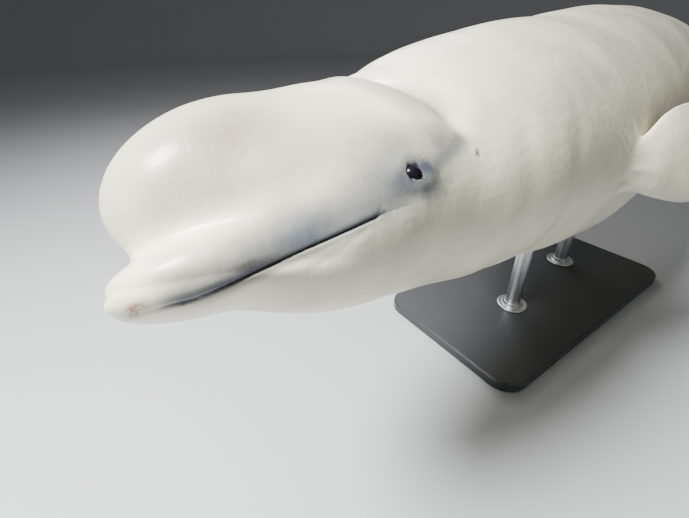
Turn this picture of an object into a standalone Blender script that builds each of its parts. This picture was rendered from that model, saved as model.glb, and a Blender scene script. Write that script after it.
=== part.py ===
# A beluga whale, head turned and banked, as a life-size model on a display stand.
# Metres. Straight frame: x back from the snout tip, y across with left minus, z up.
import bmesh
import bpy
import numpy as np

# Clearances and mesh density
GAP = 0.0003
COLUMNS = 48
COLUMN_CROWDING = 0.60

# Trunk outline: (x, height) of the top and the bottom, (x, half width) across
TOP = [
    (0.2, 0.16), (0.34, 0.215), (0.5, 0.266), (0.7, 0.263), (0.95, 0.272), (1.35, 0.302), (1.8, 0.326),
    (2.3, 0.298), (2.8, 0.225), (3.2, 0.160), (3.5, 0.105), (3.72, 0.05), (3.9, 0.012),
]
BOTTOM = [
    (0.2, -0.053), (0.34, -0.076), (0.5, -0.150), (0.7, -0.221), (0.95, -0.292), (1.35, -0.352),
    (1.8, -0.350), (2.3, -0.288), (2.8, -0.190), (3.2, -0.105), (3.5, -0.05), (3.72, -0.012), (3.9, 0.0),
]
WIDE = [
    (0.2, 0.12), (0.34, 0.168), (0.5, 0.196), (0.7, 0.216), (0.95, 0.250), (1.35, 0.306), (1.8, 0.325),
    (2.3, 0.286), (2.8, 0.200), (3.2, 0.12), (3.5, 0.062), (3.72, 0.035), (3.9, 0.02),
]

# Eggs of the head: centre, radii, pitch in radians and power
MELON = dict(centre=(0.182, 0, 0.152), radii=(0.168, 0.128, 0.111), pitch=-0.16)
CROWN = dict(centre=(0.325, 0, 0.105), radii=(0.21, 0.168, 0.160))
CHEEK = dict(centre=(0.33, 0, 0.033), radii=(0.20, 0.185, 0.118))
TEMPLE = dict(centre=(0.228, 0, 0.112), radii=(0.138, 0.146, 0.078))
BEAK = dict(centre=(0.172, 0, 0.040), radii=(0.174, 0.124, 0.053), pitch=-0.05, power=2.2)
JAW = dict(centre=(0.192, 0, -0.003), radii=(0.182, 0.113, 0.0275), pitch=0.21, power=2.3)

# Ring stations of the head: ring, axis x, axis z, tilt of the up, down and side rays in degrees
RINGS = [
    (0, 0.060, 0.006, 90, 90, 90), (1, 0.070, 0.005, 72, 62, 45), (2, 0.085, 0.004, 57, 48, 15),
    (3, 0.110, 0.003, 46, 38, 0), (4, 0.140, 0.004, 36, 28, 0), (5, 0.175, 0.005, 24, 18, 0),
    (6, 0.215, 0.007, 12, 10, 0), (7, 0.270, 0.012, 3, 3, 0), (8, 0.340, 0.020, 0, 0, 0),
]
LAST_RING_X = 0.34
TRUNK_AXIS_X = 0.80

# Where the parts meet, as ring or as x
JAW_RING = 7.1
FRONT_RINGS = [0.05, 0.2, 0.45, 0.75, 1.1, 1.5, 1.9, 2.3, 2.75, 3.25, 3.75, 4.25, 4.75, 5.25, 5.75, 6.3, 6.75]
REAR_RINGS = [7.4, 7.75, 8.0, 8.04, 8.07, 8.084, 8.095, 8.106, 8.12, 8.16]
NECK_X, CHEST_X, TORSO_X, LOIN_X, STOCK_X, TAIL_END_X = 0.53, 0.78, 1.40, 2.40, 2.90, 3.80
SPAN_RINGS = {"neck": 8, "chest": 9, "torso": 9, "loin": 6, "tail_stock": 11}
MELON_CUT = dict(centre=(0.100, 0, 0.190), radii=(0.165, 0.240, 0.115))

# Small features of the head
EYE_X, EYE_Z = 0.345, 0.048
EYE_ALONG = (-1, 0, -0.44)
EYE_RADII = (0.0121, 0.0098, 0.0108)
EYE_DEPTH = 0.003
LID_RADII, LID_THICK, LID_SINK = (0.0172, 0.0143), 0.0058, 0.0024
EAR_X, EAR_Z, EAR_RADIUS, EAR_DEPTH = 0.472, 0.055, 0.0035, 0.010
BLOW_X, BLOW_HALF_WIDTH, BLOW_SAG, BLOW_HALF_SLIT, BLOW_DEPTH = 0.385, 0.034, 0.014, 0.0035, 0.014
LIP_SWELL, LIP_TURN, LIP_SPREAD = 0.0030, 0.17, 0.11
MOUTH_DEPTH, MOUTH_SPREAD, MOUTH_CORNER_X = 0.0045, 0.035, 0.285
LIP_FILL = [(0.0, 0.033, 0.0045), (0.05, 0.031, 0.0030), (0.11, 0.018, 0.0013), (0.17, 0.012, 0.0)]
LIP_FILL_SPREAD = 0.011
FOLDS = [(0.445, 0.0065, 0.017, 1), (0.56, 0.0030, 0.018, -1), (0.68, 0.0030, 0.018, -1)]
RIDGE_FROM, RIDGE_TO, RIDGE_HEIGHT, RIDGE_STEPS, RIDGE_SINK = 1.72, 2.32, 0.026, 16, 0.004

# Flipper in the straight frame, left side
FLIPPER_ROOT = (0.836, -0.170, -0.085)
FLIPPER_SPINE = (0.836, -0.533, -0.130)
FLIPPER_CHORD = (0.044, -0.171, 0.984)
FLIPPER_LENGTH, FLIPPER_CURL = 0.56, 0.050
FLIPPER_SHAPE = [
    (0.00, 0.049, 0.049, 0.026), (0.20, 0.050, 0.050, 0.024), (0.35, 0.084, 0.105, 0.019),
    (0.60, 0.124, 0.110, 0.014), (0.80, 0.108, 0.106, 0.010), (0.93, 0.066, 0.074, 0.007),
    (0.985, 0.029, 0.036, 0.004), (1.00, 0.009, 0.012, 0.002),
]

# Fluke in the straight frame, left side: share out, leading x, trailing x, half thickness
FLUKE_HALF_SPAN, FLUKE_Z = 0.47, 0.012
FLUKE_SHAPE = [
    (0.00, 3.500, 3.850, 0.024), (0.12, 3.520, 3.872, 0.021), (0.35, 3.585, 3.905, 0.015),
    (0.60, 3.675, 3.912, 0.010), (0.80, 3.765, 3.898, 0.007), (0.94, 3.845, 3.893, 0.004),
    (1.00, 3.888, 3.902, 0.002),
]

# Pose: x, heading, climb and bank in degrees
POSE = [
    (0.34, 0.0, 0.0, -39.0), (0.54, 7.0, 14.0, -31.0), (0.76, 12.5, 3.0, -22.0), (1.28, 15.5, -1.0, -21.0),
    (2.00, 3.0, -4.0, -21.0), (2.80, -3.0, -8.0, -20.0), (3.45, -6.0, -6.0, -19.0), (3.90, -7.0, -2.0, -18.0),
]
POSE_AXIS_Z = 0.05
HEAD_HEIGHT = 0.90

# Stand
BASE_SIZE, BASE_CORNER, BASE_EDGE = (1.30, 0.68, 0.045), 0.09, 0.006
ROD_RADIUS, ROD_STATIONS = 0.032, (1.47, 2.02)
BASE_AT = 1.69

COLOURS = {
    "white_skin": (0.80, 0.79, 0.75, 1.0, 0.35),
    "pale_flipper": (0.72, 0.72, 0.68, 1.0, 0.40),
    "dark_eye": (0.03, 0.03, 0.035, 1.0, 0.08),
    "stand_base": (0.10, 0.10, 0.11, 1.0, 0.35),
    "stand_steel": (0.62, 0.63, 0.64, 1.0, 0.25),
}


def curve(x, stations):
    px, py = np.array(stations, float).T
    slope = np.gradient(py, px)
    x = np.clip(x, px[0], px[-1])
    i = np.clip(np.searchsorted(px, x, side="right") - 1, 0, len(px) - 2)
    h = px[i + 1] - px[i]
    t = (x - px[i]) / h
    near = (1 + 2 * t) * (1 - t) ** 2 * py[i] + t * (1 - t) ** 2 * h * slope[i]
    return near + t * t * (3 - 2 * t) * py[i + 1] + t * t * (t - 1) * h * slope[i + 1]


def smooth_union(a, b, k):
    h = np.clip(0.5 + 0.5 * (b - a) / k, 0, 1)
    return b * (1 - h) + a * h - k * h * (1 - h)


def step(x, a, b):
    t = np.clip((x - a) / (b - a), 0, 1)
    return t * t * (3 - 2 * t)


def bump(x, middle, spread):
    return np.exp(-(((x - middle) / spread) ** 2))


def unit(v):
    v = np.asarray(v, float)
    return v / np.linalg.norm(v, axis=-1, keepdims=True)


def egg(p, centre, radii, pitch=0.0, power=2.0):
    q = p - np.array(centre)
    c, s = np.cos(pitch), np.sin(pitch)
    x = q[..., 0] * c - q[..., 2] * s
    z = q[..., 0] * s + q[..., 2] * c
    e = np.abs(np.stack([x / radii[0], q[..., 1] / radii[1], z / radii[2]], -1))
    k0 = (e**power).sum(-1) ** (1 / power)
    k1 = np.sqrt(((e / np.array(radii)) ** 2).sum(-1)) + 1e-9
    return k0 * (k0 - 1) / k1


def trunk(p):
    x = p[..., 0]
    top, bottom, wide = curve(x, TOP), curve(x, BOTTOM), curve(x, WIDE)
    mid, high = (top + bottom) / 2, (top - bottom) / 2
    cap = np.sqrt(np.clip(1 - (np.clip(0.40 - x, 0, 1) / 0.27) ** 2, 0.01, 1))
    wide, high = wide * cap, high * cap
    k = np.sqrt((p[..., 1] / wide) ** 2 + ((p[..., 2] - mid) / high) ** 2)
    return (k - 1) * np.minimum(wide, high) + 2 * np.clip(0.14 - x, 0, 1)


def flesh(p):
    f = smooth_union(egg(p, **CROWN), egg(p, **CHEEK), 0.05)
    f = smooth_union(f, trunk(p), 0.06)
    f = smooth_union(f, egg(p, **MELON), 0.022)
    f = smooth_union(f, egg(p, **TEMPLE), 0.03)
    beak = smooth_union(egg(p, **BEAK), egg(p, **JAW), 0.04)
    return smooth_union(f, beak, 0.03)


def outward(p):
    h = 1e-4
    return unit(np.stack([flesh(p + h * e) - flesh(p - h * e) for e in np.eye(3)], -1))


def ring_axis(u):
    rows = np.array(RINGS, float)
    cols = [np.interp(u, rows[:, 0], rows[:, k]) for k in range(1, 6)]
    x = np.where(u > 8, LAST_RING_X + (u - 8), cols[0])
    mid = (curve(x, TOP) + curve(x, BOTTOM)) / 2
    last = rows[-1, 2]
    z = np.where(u > 8, last + (mid - last) * step(x, LAST_RING_X, TRUNK_AXIS_X), cols[1])
    return x, z, np.radians(cols[2]), np.radians(cols[3]), np.radians(cols[4])


def ring_at(x):
    return 8 + x - LAST_RING_X


def turns(u, count=COLUMNS):
    """Angles of the columns, crowded to the mouth line in the head."""
    v = np.linspace(0, 2 * np.pi, count, endpoint=False)[None, :]
    crowd = COLUMN_CROWDING * (1 - step(u, 7.5, 8.4))[:, None]
    return v + crowd / 2 * np.sin(2 * v)


def skin(u, v, lift=0.0, grow=0.0):
    """Points of the body surface on rings u at turns v, and the axis points."""
    x, z, a, b, c = (k[:, None] for k in ring_axis(u))
    x, z, a, b, c, v = np.broadcast_arrays(x, z, a, b, c, v)
    start = np.stack([x, 0 * x, z + lift], -1)
    up = np.stack([-np.sin(a), 0 * a, np.cos(a)], -1)
    down = np.stack([-np.sin(b), 0 * b, -np.cos(b)], -1)
    side = np.stack([-np.sin(c), -np.sign(np.sin(v) + 1e-12) * np.cos(c), 0 * c], -1)
    cosine, sine = np.cos(v)[..., None], np.abs(np.sin(v))[..., None]
    ray = unit(np.where(cosine >= 0, cosine * up, -cosine * down) + sine * side)
    near, far = np.zeros(x.shape), np.full(x.shape, 0.6)
    found = np.zeros(x.shape, bool)
    for reach in np.linspace(0.01, 0.6, 60):
        outside = flesh(start + reach * ray) > 0
        far = np.where(outside & ~found, reach, far)
        near = np.where(~outside & ~found, reach, near)
        found |= outside
    for _ in range(20):
        half = (near + far) / 2
        outside = flesh(start + half[..., None] * ray) > 0
        far, near = np.where(outside, half, far), np.where(outside, near, half)
    p = start + near[..., None] * ray
    shift = relief(p, v) + grow
    return p + shift[..., None] * outward(p), start[:, 0]


def relief(p, v):
    """Height over the smooth body: lips, line of the mouth, the full upper lip and folds of the neck."""
    x, z = p[..., 0], p[..., 2]
    turn = np.abs(np.abs((v + np.pi) % (2 * np.pi) - np.pi) - np.pi / 2)
    ahead = 1 - step(x, MOUTH_CORNER_X - 0.03, MOUTH_CORNER_X + 0.012)
    lips = LIP_SWELL * bump(turn, LIP_TURN, LIP_SPREAD) - MOUTH_DEPTH * bump(turn, 0, MOUTH_SPREAD)
    fill = np.array(LIP_FILL)
    height = ahead * lips + curve(x, fill[:, [0, 2]]) * bump(z, curve(x, fill[:, :2]), LIP_FILL_SPREAD)
    for at, deep, spread, way in FOLDS:
        bow = at + 0.10 * (z - 0.05) * (1 - way)
        reach = step(z, 0.0, 0.10) if way > 0 else 1 - step(z, 0.08, 0.18)
        height = height - deep * bump(x, bow, spread) * reach
    return height


def spine_table():
    rows = np.array(POSE, float)
    x = np.linspace(-0.2, 4.1, 861)
    heading, climb, bank = (np.radians(curve(x, rows[:, [0, k]])) for k in (1, 2, 3))
    ahead = np.stack(
        [np.cos(climb) * np.cos(heading), np.cos(climb) * np.sin(heading), np.sin(climb)], -1
    )
    side = np.stack([-np.sin(heading), np.cos(heading), 0 * heading], -1)
    rise = np.cross(ahead, side)
    c, s = np.cos(bank)[:, None], np.sin(bank)[:, None]
    line = np.concatenate([[[0, 0, 0]], np.cumsum((ahead[1:] + ahead[:-1]) / 2 * (x[1] - x[0]), 0)])
    line += np.array([x[0], 0, HEAD_HEIGHT])
    return x, line, c * side + s * rise, -s * side + c * rise


SPINE = spine_table()


def posed(p):
    """Straight frame to the banked and turned pose."""
    p = np.asarray(p, float)
    x, line, side, rise = SPINE
    at, across, up = (
        np.stack([np.interp(p[..., 0], x, table[:, k]) for k in range(3)], -1) for table in (line, side, rise)
    )
    return at + p[..., 1:2] * across + (p[..., 2:3] - POSE_AXIS_Z) * up


def clear_scene():
    for thing in list(bpy.data.objects):
        bpy.data.objects.remove(thing, do_unlink=True)
    for block in (bpy.data.meshes, bpy.data.materials):
        for item in list(block):
            block.remove(item)


def material(name):
    made = bpy.data.materials.get(name)
    if made is None:
        made = bpy.data.materials.new(name)
        made.use_nodes = True
        shader = made.node_tree.nodes["Principled BSDF"]
        shader.inputs["Base Color"].default_value = COLOURS[name][:4]
        shader.inputs["Roughness"].default_value = COLOURS[name][4]
        if name == "stand_steel":
            shader.inputs["Metallic"].default_value = 1.0
    return made


def body(name, points, faces, slot="white_skin"):
    """A mesh object with outward faces."""
    mesh = bpy.data.meshes.new(name)
    mesh.from_pydata([tuple(p) for p in np.asarray(points, float)], [], faces)
    made = bpy.data.objects.new(name, mesh)
    bpy.context.scene.collection.objects.link(made)
    work = bmesh.new()
    work.from_mesh(mesh)
    bmesh.ops.recalc_face_normals(work, faces=work.faces)
    if work.calc_volume(signed=True) < 0:
        bmesh.ops.reverse_faces(work, faces=work.faces)
    bmesh.ops.triangulate(work, faces=work.faces, quad_method="FIXED")
    work.to_mesh(mesh)
    work.free()
    mesh.materials.append(material(slot))
    return made


def tube_faces(rings, columns, closed=True):
    """Quads between rings of points; the two end points follow the rings."""
    faces = []
    for i in range(rings - 1):
        for j in range(columns if closed else columns - 1):
            k = (j + 1) % columns
            faces.append((i * columns + j, i * columns + k, (i + 1) * columns + k, (i + 1) * columns + j))
    first, last = rings * columns, rings * columns + 1
    for j in range(columns if closed else columns - 1):
        k = (j + 1) % columns
        faces.append((first, k, j))
        faces.append((last, (rings - 1) * columns + j, (rings - 1) * columns + k))
    return faces


def loft(name, rings, ends, slot="white_skin"):
    rings = np.asarray(rings, float)
    points = np.concatenate([rings.reshape(-1, 3), np.asarray(ends, float)])
    return body(name, points, tube_faces(rings.shape[0], rings.shape[1]), slot)


def section(name, u, grow=0.0):
    """A length of the body between two rings, closed by a fan at each end."""
    rings, axis = skin(u, turns(u), grow=grow)
    ends = [rings[0].mean(0), axis[-1]] if u[0] < 0.1 else [axis[0], axis[-1]]
    if u[0] < 0.1:
        ends[0] = ends[0] + np.array([-0.001, 0, 0])
    return loft(name, rings, ends)


def wedge(name, u, lower, lift):
    """Half of the muzzle above or below the mouth; both halves split the mouth's faces the same way."""
    v = turns(u)
    quarter, half = COLUMNS // 4, COLUMNS // 2
    if lower:
        v = v[:, quarter : quarter + half + 1]
    else:
        v = np.concatenate([v[:, -quarter:] - 2 * np.pi, v[:, : quarter + 1]], 1)
    points, axis = skin(u, v, lift=lift)
    rings, columns = points.shape[:2]
    grid = np.concatenate([points, axis[:, None]], 1)
    across = columns + 1
    faces = []
    for i in range(rings - 1):
        for j in range(across):
            k = (j + 1) % across
            a, b, c, d = i * across + j, i * across + k, (i + 1) * across + k, (i + 1) * across + j
            if j == columns - 1:
                faces += [(a, b, d), (b, c, d)]
            elif j == columns:
                faces += [(a, b, c), (a, c, d)]
            else:
                faces.append((a, b, c, d))
    for row in (0, rings - 1):
        hub = row * across + columns
        faces += [(hub, row * across + j, row * across + j + 1) for j in range(columns - 1)]
    return body(name, grid.reshape(-1, 3), faces)


def egg_body(name, centre, radii, frame=None, rings=20, columns=32, slot="white_skin"):
    """A closed ellipsoid; frame rows are its three axes."""
    frame = np.eye(3) if frame is None else frame
    a = np.linspace(0, np.pi, rings + 1)[1:-1, None]
    b = np.linspace(0, 2 * np.pi, columns, endpoint=False)[None, :]
    local = np.stack([np.sin(a) * np.cos(b), np.sin(a) * np.sin(b), np.cos(a) + 0 * b], -1) * radii
    ends = np.array([[0, 0, radii[2]], [0, 0, -radii[2]]]) @ frame + centre
    return loft(name, local @ frame + centre, ends, slot)


def ring_body(name, centre, frame, radii, thick, around=28, section_points=10):
    """An elliptic ring, the shape of a pair of eyelids."""
    b = np.linspace(0, 2 * np.pi, around, endpoint=False)[:, None]
    c = np.linspace(0, 2 * np.pi, section_points, endpoint=False)[None, :]
    out = thick * np.cos(c)
    local = np.stack(
        [(radii[0] + out) * np.cos(b), (radii[1] + out) * np.sin(b), 0.62 * thick * np.sin(c) + 0 * b], -1
    )
    faces = []
    for i in range(around):
        for j in range(section_points):
            k, here, there = (j + 1) % section_points, i * section_points, (i + 1) % around * section_points
            faces.append((here + j, there + j, there + k, here + k))
    return body(name, (local @ frame + centre).reshape(-1, 3), faces)


def cut(target, other, operation):
    """Runs one exact Boolean on the target and drops the other object."""
    tool = target.modifiers.new("join", "BOOLEAN")
    tool.operation, tool.solver, tool.object = operation, "EXACT", other
    graph = bpy.context.evaluated_depsgraph_get()
    made = bpy.data.meshes.new_from_object(target.evaluated_get(graph))
    target.modifiers.clear()
    target.data = made
    bpy.data.objects.remove(other, do_unlink=True)
    keep_largest(target)


def keep_largest(target):
    work = bmesh.new()
    work.from_mesh(target.data)
    bmesh.ops.remove_doubles(work, verts=work.verts, dist=0.00002)
    bmesh.ops.dissolve_degenerate(work, dist=0.00002, edges=work.edges)
    left, islands = set(work.verts), []
    while left:
        stack, found = [left.pop()], set()
        while stack:
            vert = stack.pop()
            found.add(vert)
            for edge in vert.link_edges:
                other = edge.other_vert(vert)
                if other in left:
                    left.remove(other)
                    stack.append(other)
        islands.append(found)
    islands.sort(key=len)
    for island in islands[:-1]:
        bmesh.ops.delete(work, geom=list(island), context="VERTS")
    bmesh.ops.triangulate(work, faces=work.faces)
    work.to_mesh(target.data)
    work.free()


def on_skin(x, z, side=-1):
    """The point of the flank at x and z, and its outward direction."""
    near, far = 0.0, 0.5
    for _ in range(30):
        half = (near + far) / 2
        inside = flesh(np.array([[x, side * half, z]]))[0] < 0
        near, far = (half, far) if inside else (near, half)
    p = np.array([x, side * near, z])
    return p, outward(p[None])[0]


def face_frame(normal, along):
    along = unit(along - normal * np.dot(along, normal))
    return np.stack([along, np.cross(normal, along), normal])


def mirrored(obj, name):
    """A copy on the other side of the middle plane."""
    points = np.array([tuple(v.co) for v in obj.data.vertices]) * (1, -1, 1)
    faces = [tuple(f.vertices) for f in obj.data.polygons]
    return body(name, points, faces, obj.data.materials[0].name)


def make_head():
    front = np.array(FRONT_RINGS + [JAW_RING])
    rear = np.array([JAW_RING] + REAR_RINGS + [ring_at(NECK_X)])
    whole = section("melon", np.concatenate([front[:-1], rear]))
    centre, radii = np.array(MELON_CUT["centre"]), np.array(MELON_CUT["radii"])
    cut(whole, egg_body("cutter", centre, radii, rings=24, columns=44), "INTERSECT")
    upper = wedge("upper_jaw", front, False, GAP / 2)
    lower = wedge("lower_jaw", front, True, -GAP / 2)
    rear[0] += GAP / 0.05
    head = section("head", rear)
    for part in (upper, head):
        cut(part, egg_body("cutter", centre, radii + GAP, rings=24, columns=44), "DIFFERENCE")
    eyes = []
    for side, word in ((-1, "left"), (1, "right")):
        p, normal = on_skin(EYE_X, EYE_Z, side)
        frame = face_frame(normal, np.array(EYE_ALONG))
        lids = ring_body("lids", p - LID_SINK * normal, frame, LID_RADII, LID_THICK)
        cut(head, lids, "UNION")
        centre = p - EYE_DEPTH * normal
        cut(head, egg_body("socket", centre, np.array(EYE_RADII) + GAP, frame, 12, 20), "DIFFERENCE")
        eyes.append(egg_body("eye_" + word, centre, np.array(EYE_RADII), frame, 12, 20, "dark_eye"))
        p, normal = on_skin(EAR_X, EAR_Z, side)
        frame = face_frame(normal, np.array([-1, 0, 0]))
        pit = egg_body("pit", p, np.array([EAR_RADIUS, EAR_RADIUS, EAR_DEPTH]), frame, 6, 10)
        cut(head, pit, "DIFFERENCE")
    cut(head, blowhole(), "DIFFERENCE")
    return [whole, upper, lower, head] + eyes


def blowhole():
    """A curved slit across the crown, its ends swept forward."""
    share = np.linspace(-1, 1, 13)
    x = BLOW_X - BLOW_SAG * share**2
    y = BLOW_HALF_WIDTH * share
    half = BLOW_HALF_SLIT * np.sqrt(np.clip(1.04 - share**2, 0, 1))
    top = np.array([height_above(a, b) for a, b in zip(x, y)])
    low, high = top - BLOW_DEPTH * (1.02 - share**2) - 0.001, top + 0.01
    corners = [(x - half, low), (x + half, low), (x + half, high), (x - half, high)]
    rings = np.stack([np.stack([a, y, b], -1) for a, b in corners], 1)
    return loft("slit", rings, [rings[0].mean(0), rings[-1].mean(0)])


def height_above(x, y):
    near, far = 0.05, 0.5
    for _ in range(30):
        half = (near + far) / 2
        inside = flesh(np.array([[x, y, half]]))[0] < 0
        near, far = (half, far) if inside else (near, half)
    return near


def make_trunk():
    """Neck to tail, each length a node of its own."""
    edges = (NECK_X, CHEST_X, TORSO_X, LOIN_X, STOCK_X, TAIL_END_X)
    made = []
    for (name, count), start, end in zip(SPAN_RINGS.items(), edges, edges[1:]):
        made.append(section(name, ring_at(np.linspace(start + GAP, end, count))))
    return made


def make_ridge():
    """A low notched crest along the back, its foot a little under the skin."""
    x = np.linspace(RIDGE_FROM, RIDGE_TO, RIDGE_STEPS + 1)
    u = ring_at(x)
    reach = 2 * np.pi / COLUMNS
    base, _ = skin(u, np.array([[-reach, -reach / 2, 0, reach / 2, reach]]), grow=-RIDGE_SINK)
    share = (x - RIDGE_FROM) / (RIDGE_TO - RIDGE_FROM)
    tall = RIDGE_HEIGHT * np.sqrt(np.clip(np.sin(np.pi * share), 0, 1)) + 0.002
    tall = tall * (0.86 + 0.14 * np.cos(np.arange(len(x)) * np.pi))
    low = base[:, 2]
    lifts = [(0.55, 0.42), (0.12, 1.0), (0.12, 1.0), (0.55, 0.42)]
    sides = []
    for (part, rise), end in zip(lifts, (base[:, 0], base[:, 0], base[:, 4], base[:, 4])):
        sides.append(low + (end - low) * part + np.outer(tall * rise, (0, 0, 1)))
    rings = np.stack([base[:, 0]] + sides + [base[:, 4], base[:, 3], low, base[:, 1]], 1)
    return loft("dorsal_ridge", rings, [rings[0].mean(0), rings[-1].mean(0)])


def blade(name, stations, centre_of, columns=18, slot="white_skin"):
    """A closed blade from rows of a middle point, a chord, a thickness direction and two half sizes."""
    b = np.linspace(0, 2 * np.pi, columns, endpoint=False)
    rings = []
    for row in stations:
        middle, chord, lift, half, thick = centre_of(row)
        share = np.cos(b)
        plump = np.sin(b) * (1 - 0.45 * share) * np.abs(np.sin(b)) ** 0.15
        rings.append(middle + np.outer(share * half, chord) + np.outer(plump * thick, lift))
    rings = np.array(rings)
    tip = rings[-1].mean(0) + 0.3 * (rings[-1].mean(0) - rings[-2].mean(0))
    return loft(name, rings, [rings[0].mean(0), tip], slot)


def dense(stations, count):
    """The rows of a table read at more places, closer together at the end."""
    rows = np.array(stations, float)
    share = rows[0, 0] + (rows[-1, 0] - rows[0, 0]) * np.sin(np.linspace(0, np.pi / 2, count))
    return np.stack([share] + [curve(share, rows[:, [0, k]]) for k in range(1, rows.shape[1])], -1)


def flipper_row(row):
    spine, chord = unit(FLIPPER_SPINE), np.array(FLIPPER_CHORD, float)
    chord = unit(chord - spine * np.dot(chord, spine))
    lift = np.cross(spine, chord)
    share, lead, trail, thick = row
    at = np.array(FLIPPER_ROOT) + spine * FLIPPER_LENGTH * share - lift * FLIPPER_CURL * share**3
    return at + chord * (trail - lead) / 2, chord, lift, (lead + trail) / 2, thick


def fluke_row(row):
    share, lead, trail, thick = row
    drop = 0.018 * np.sin(np.pi * share)
    middle = np.array([(lead + trail) / 2, -FLUKE_HALF_SPAN * share - GAP / 2, FLUKE_Z + drop])
    return middle, np.array([1.0, 0, 0]), np.array([0, 0, 1.0]), (trail - lead) / 2, thick


def span_cutter(word, ahead=0.0, behind=0.0):
    """One length of the body grown by the gap, posed, to cut what grows from it."""
    names = list(SPAN_RINGS)
    edges = (NECK_X, CHEST_X, TORSO_X, LOIN_X, STOCK_X, TAIL_END_X)
    start, end = edges[names.index(word)], edges[names.index(word) + 1]
    x = np.linspace(start + GAP, end, SPAN_RINGS[word])
    if ahead:
        x = np.append(start - ahead, x)
    if behind:
        x = np.append(x, end + behind)
    made = section("cutter", ring_at(x), GAP)
    set_pose([made])
    return made


def make_fins():
    """Flippers, flukes and the crest, each cut by the part of the body it grows from."""
    flipper = blade("flipper_left", dense(FLIPPER_SHAPE, 15), flipper_row, 20, "pale_flipper")
    fluke = blade("fluke_left", dense(FLUKE_SHAPE, 14), fluke_row, 20)
    pairs = [
        (make_ridge(), "torso"), (flipper, "chest"), (mirrored(flipper, "flipper_right"), "chest"),
        (fluke, "tail_stock"), (mirrored(fluke, "fluke_right"), "tail_stock"),
    ]
    set_pose([part for part, _ in pairs])
    for part, word in pairs:
        cut(part, span_cutter(word, 0.1 if word == "chest" else 0.0, GAP), "DIFFERENCE")
    return [part for part, _ in pairs]


def set_pose(parts):
    for part in parts:
        points = np.array([tuple(v.co) for v in part.data.vertices])
        part.data.vertices.foreach_set("co", posed(points).astype(np.float32).ravel())
        part.data.update()


def make_stand():
    """A rounded slab with two rods cut to the belly above them."""
    wide, deep, tall = BASE_SIZE
    centre = posed([BASE_AT, 0, POSE_AXIS_Z])
    corners = []
    for quarter in range(4):
        signs = [(1, 1), (-1, 1), (-1, -1), (1, -1)][quarter]
        middle = np.array([wide / 2 - BASE_CORNER, deep / 2 - BASE_CORNER]) * signs
        for a in np.linspace(0, np.pi / 2, 7) + quarter * np.pi / 2:
            corners.append(np.append(middle, [np.cos(a), np.sin(a)]))
    corners = np.array(corners)
    rings = []
    for inset, z in ((BASE_EDGE, 0), (0, BASE_EDGE), (0, tall - BASE_EDGE), (BASE_EDGE, tall)):
        flat = corners[:, :2] + corners[:, 2:] * (BASE_CORNER - inset)
        rings.append(np.column_stack([flat + centre[:2], np.full(len(flat), z)]))
    ends = [(centre[0], centre[1], 0), (centre[0], centre[1], tall)]
    made = [loft("stand_base", rings, ends, "stand_base")]
    b = np.linspace(0, 2 * np.pi, 28, endpoint=False)
    for word, x in zip(("front", "rear"), ROD_STATIONS):
        at = posed([x, 0, POSE_AXIS_Z])
        circle = np.column_stack([at[0] + ROD_RADIUS * np.cos(b), at[1] + ROD_RADIUS * np.sin(b)])
        levels = (tall + GAP, at[2] - 0.05)
        rings = [np.column_stack([circle, np.full(len(b), z)]) for z in levels]
        rod = loft("stand_rod_" + word, rings, [(at[0], at[1], z) for z in levels], "stand_steel")
        cut(rod, span_cutter("torso"), "DIFFERENCE")
        made.append(rod)
    return made


def centre_on_origin(parts):
    """Moves everything so that the middle of the box's underside is the origin."""
    points = [np.array([tuple(v.co) for v in part.data.vertices]) for part in parts]
    low = np.min([p.min(0) for p in points], 0)
    high = np.max([p.max(0) for p in points], 0)
    shift = np.array([-(low[0] + high[0]) / 2, -(low[1] + high[1]) / 2, -low[2]])
    for part, place in zip(parts, points):
        part.data.vertices.foreach_set("co", (place + shift).astype(np.float32).ravel())
        part.data.update()


def main():
    clear_scene()
    flesh_parts = make_head() + make_trunk()
    set_pose(flesh_parts)
    centre_on_origin(flesh_parts + make_fins() + make_stand())


main()
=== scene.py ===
"""Looks of a life-size beluga whale on its stand: one skin, wet eyes, the stand's finishes and the stage.

Lengths are metres. In the straight frame x runs back from the snout tip, y across with left minus, z up.
"""

import bpy
import numpy as np
from mathutils import Matrix, Vector


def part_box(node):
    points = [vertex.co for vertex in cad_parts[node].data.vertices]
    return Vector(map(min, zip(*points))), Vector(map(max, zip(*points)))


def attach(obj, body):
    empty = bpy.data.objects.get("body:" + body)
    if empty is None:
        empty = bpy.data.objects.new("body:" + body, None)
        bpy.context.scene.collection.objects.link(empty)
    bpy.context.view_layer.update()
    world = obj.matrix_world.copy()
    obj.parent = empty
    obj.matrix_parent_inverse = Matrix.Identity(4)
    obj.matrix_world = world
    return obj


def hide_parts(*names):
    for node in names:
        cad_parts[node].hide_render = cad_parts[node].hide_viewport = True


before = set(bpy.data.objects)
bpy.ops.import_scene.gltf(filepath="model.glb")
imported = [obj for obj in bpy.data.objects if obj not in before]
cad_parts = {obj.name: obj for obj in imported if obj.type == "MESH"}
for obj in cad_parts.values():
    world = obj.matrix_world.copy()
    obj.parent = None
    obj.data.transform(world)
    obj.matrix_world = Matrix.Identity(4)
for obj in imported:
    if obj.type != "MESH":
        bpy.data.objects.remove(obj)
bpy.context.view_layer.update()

bl_info = {
    "name": "Beluga Whale Model",
    "version": (1, 0, 0),
    "blender": (4, 5, 0),
    "location": "View3D > Sidebar > Whale",
    "description": "Skin, eyes, stand and stage of a life-size beluga whale",
    "category": "Add Mesh",
}

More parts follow.
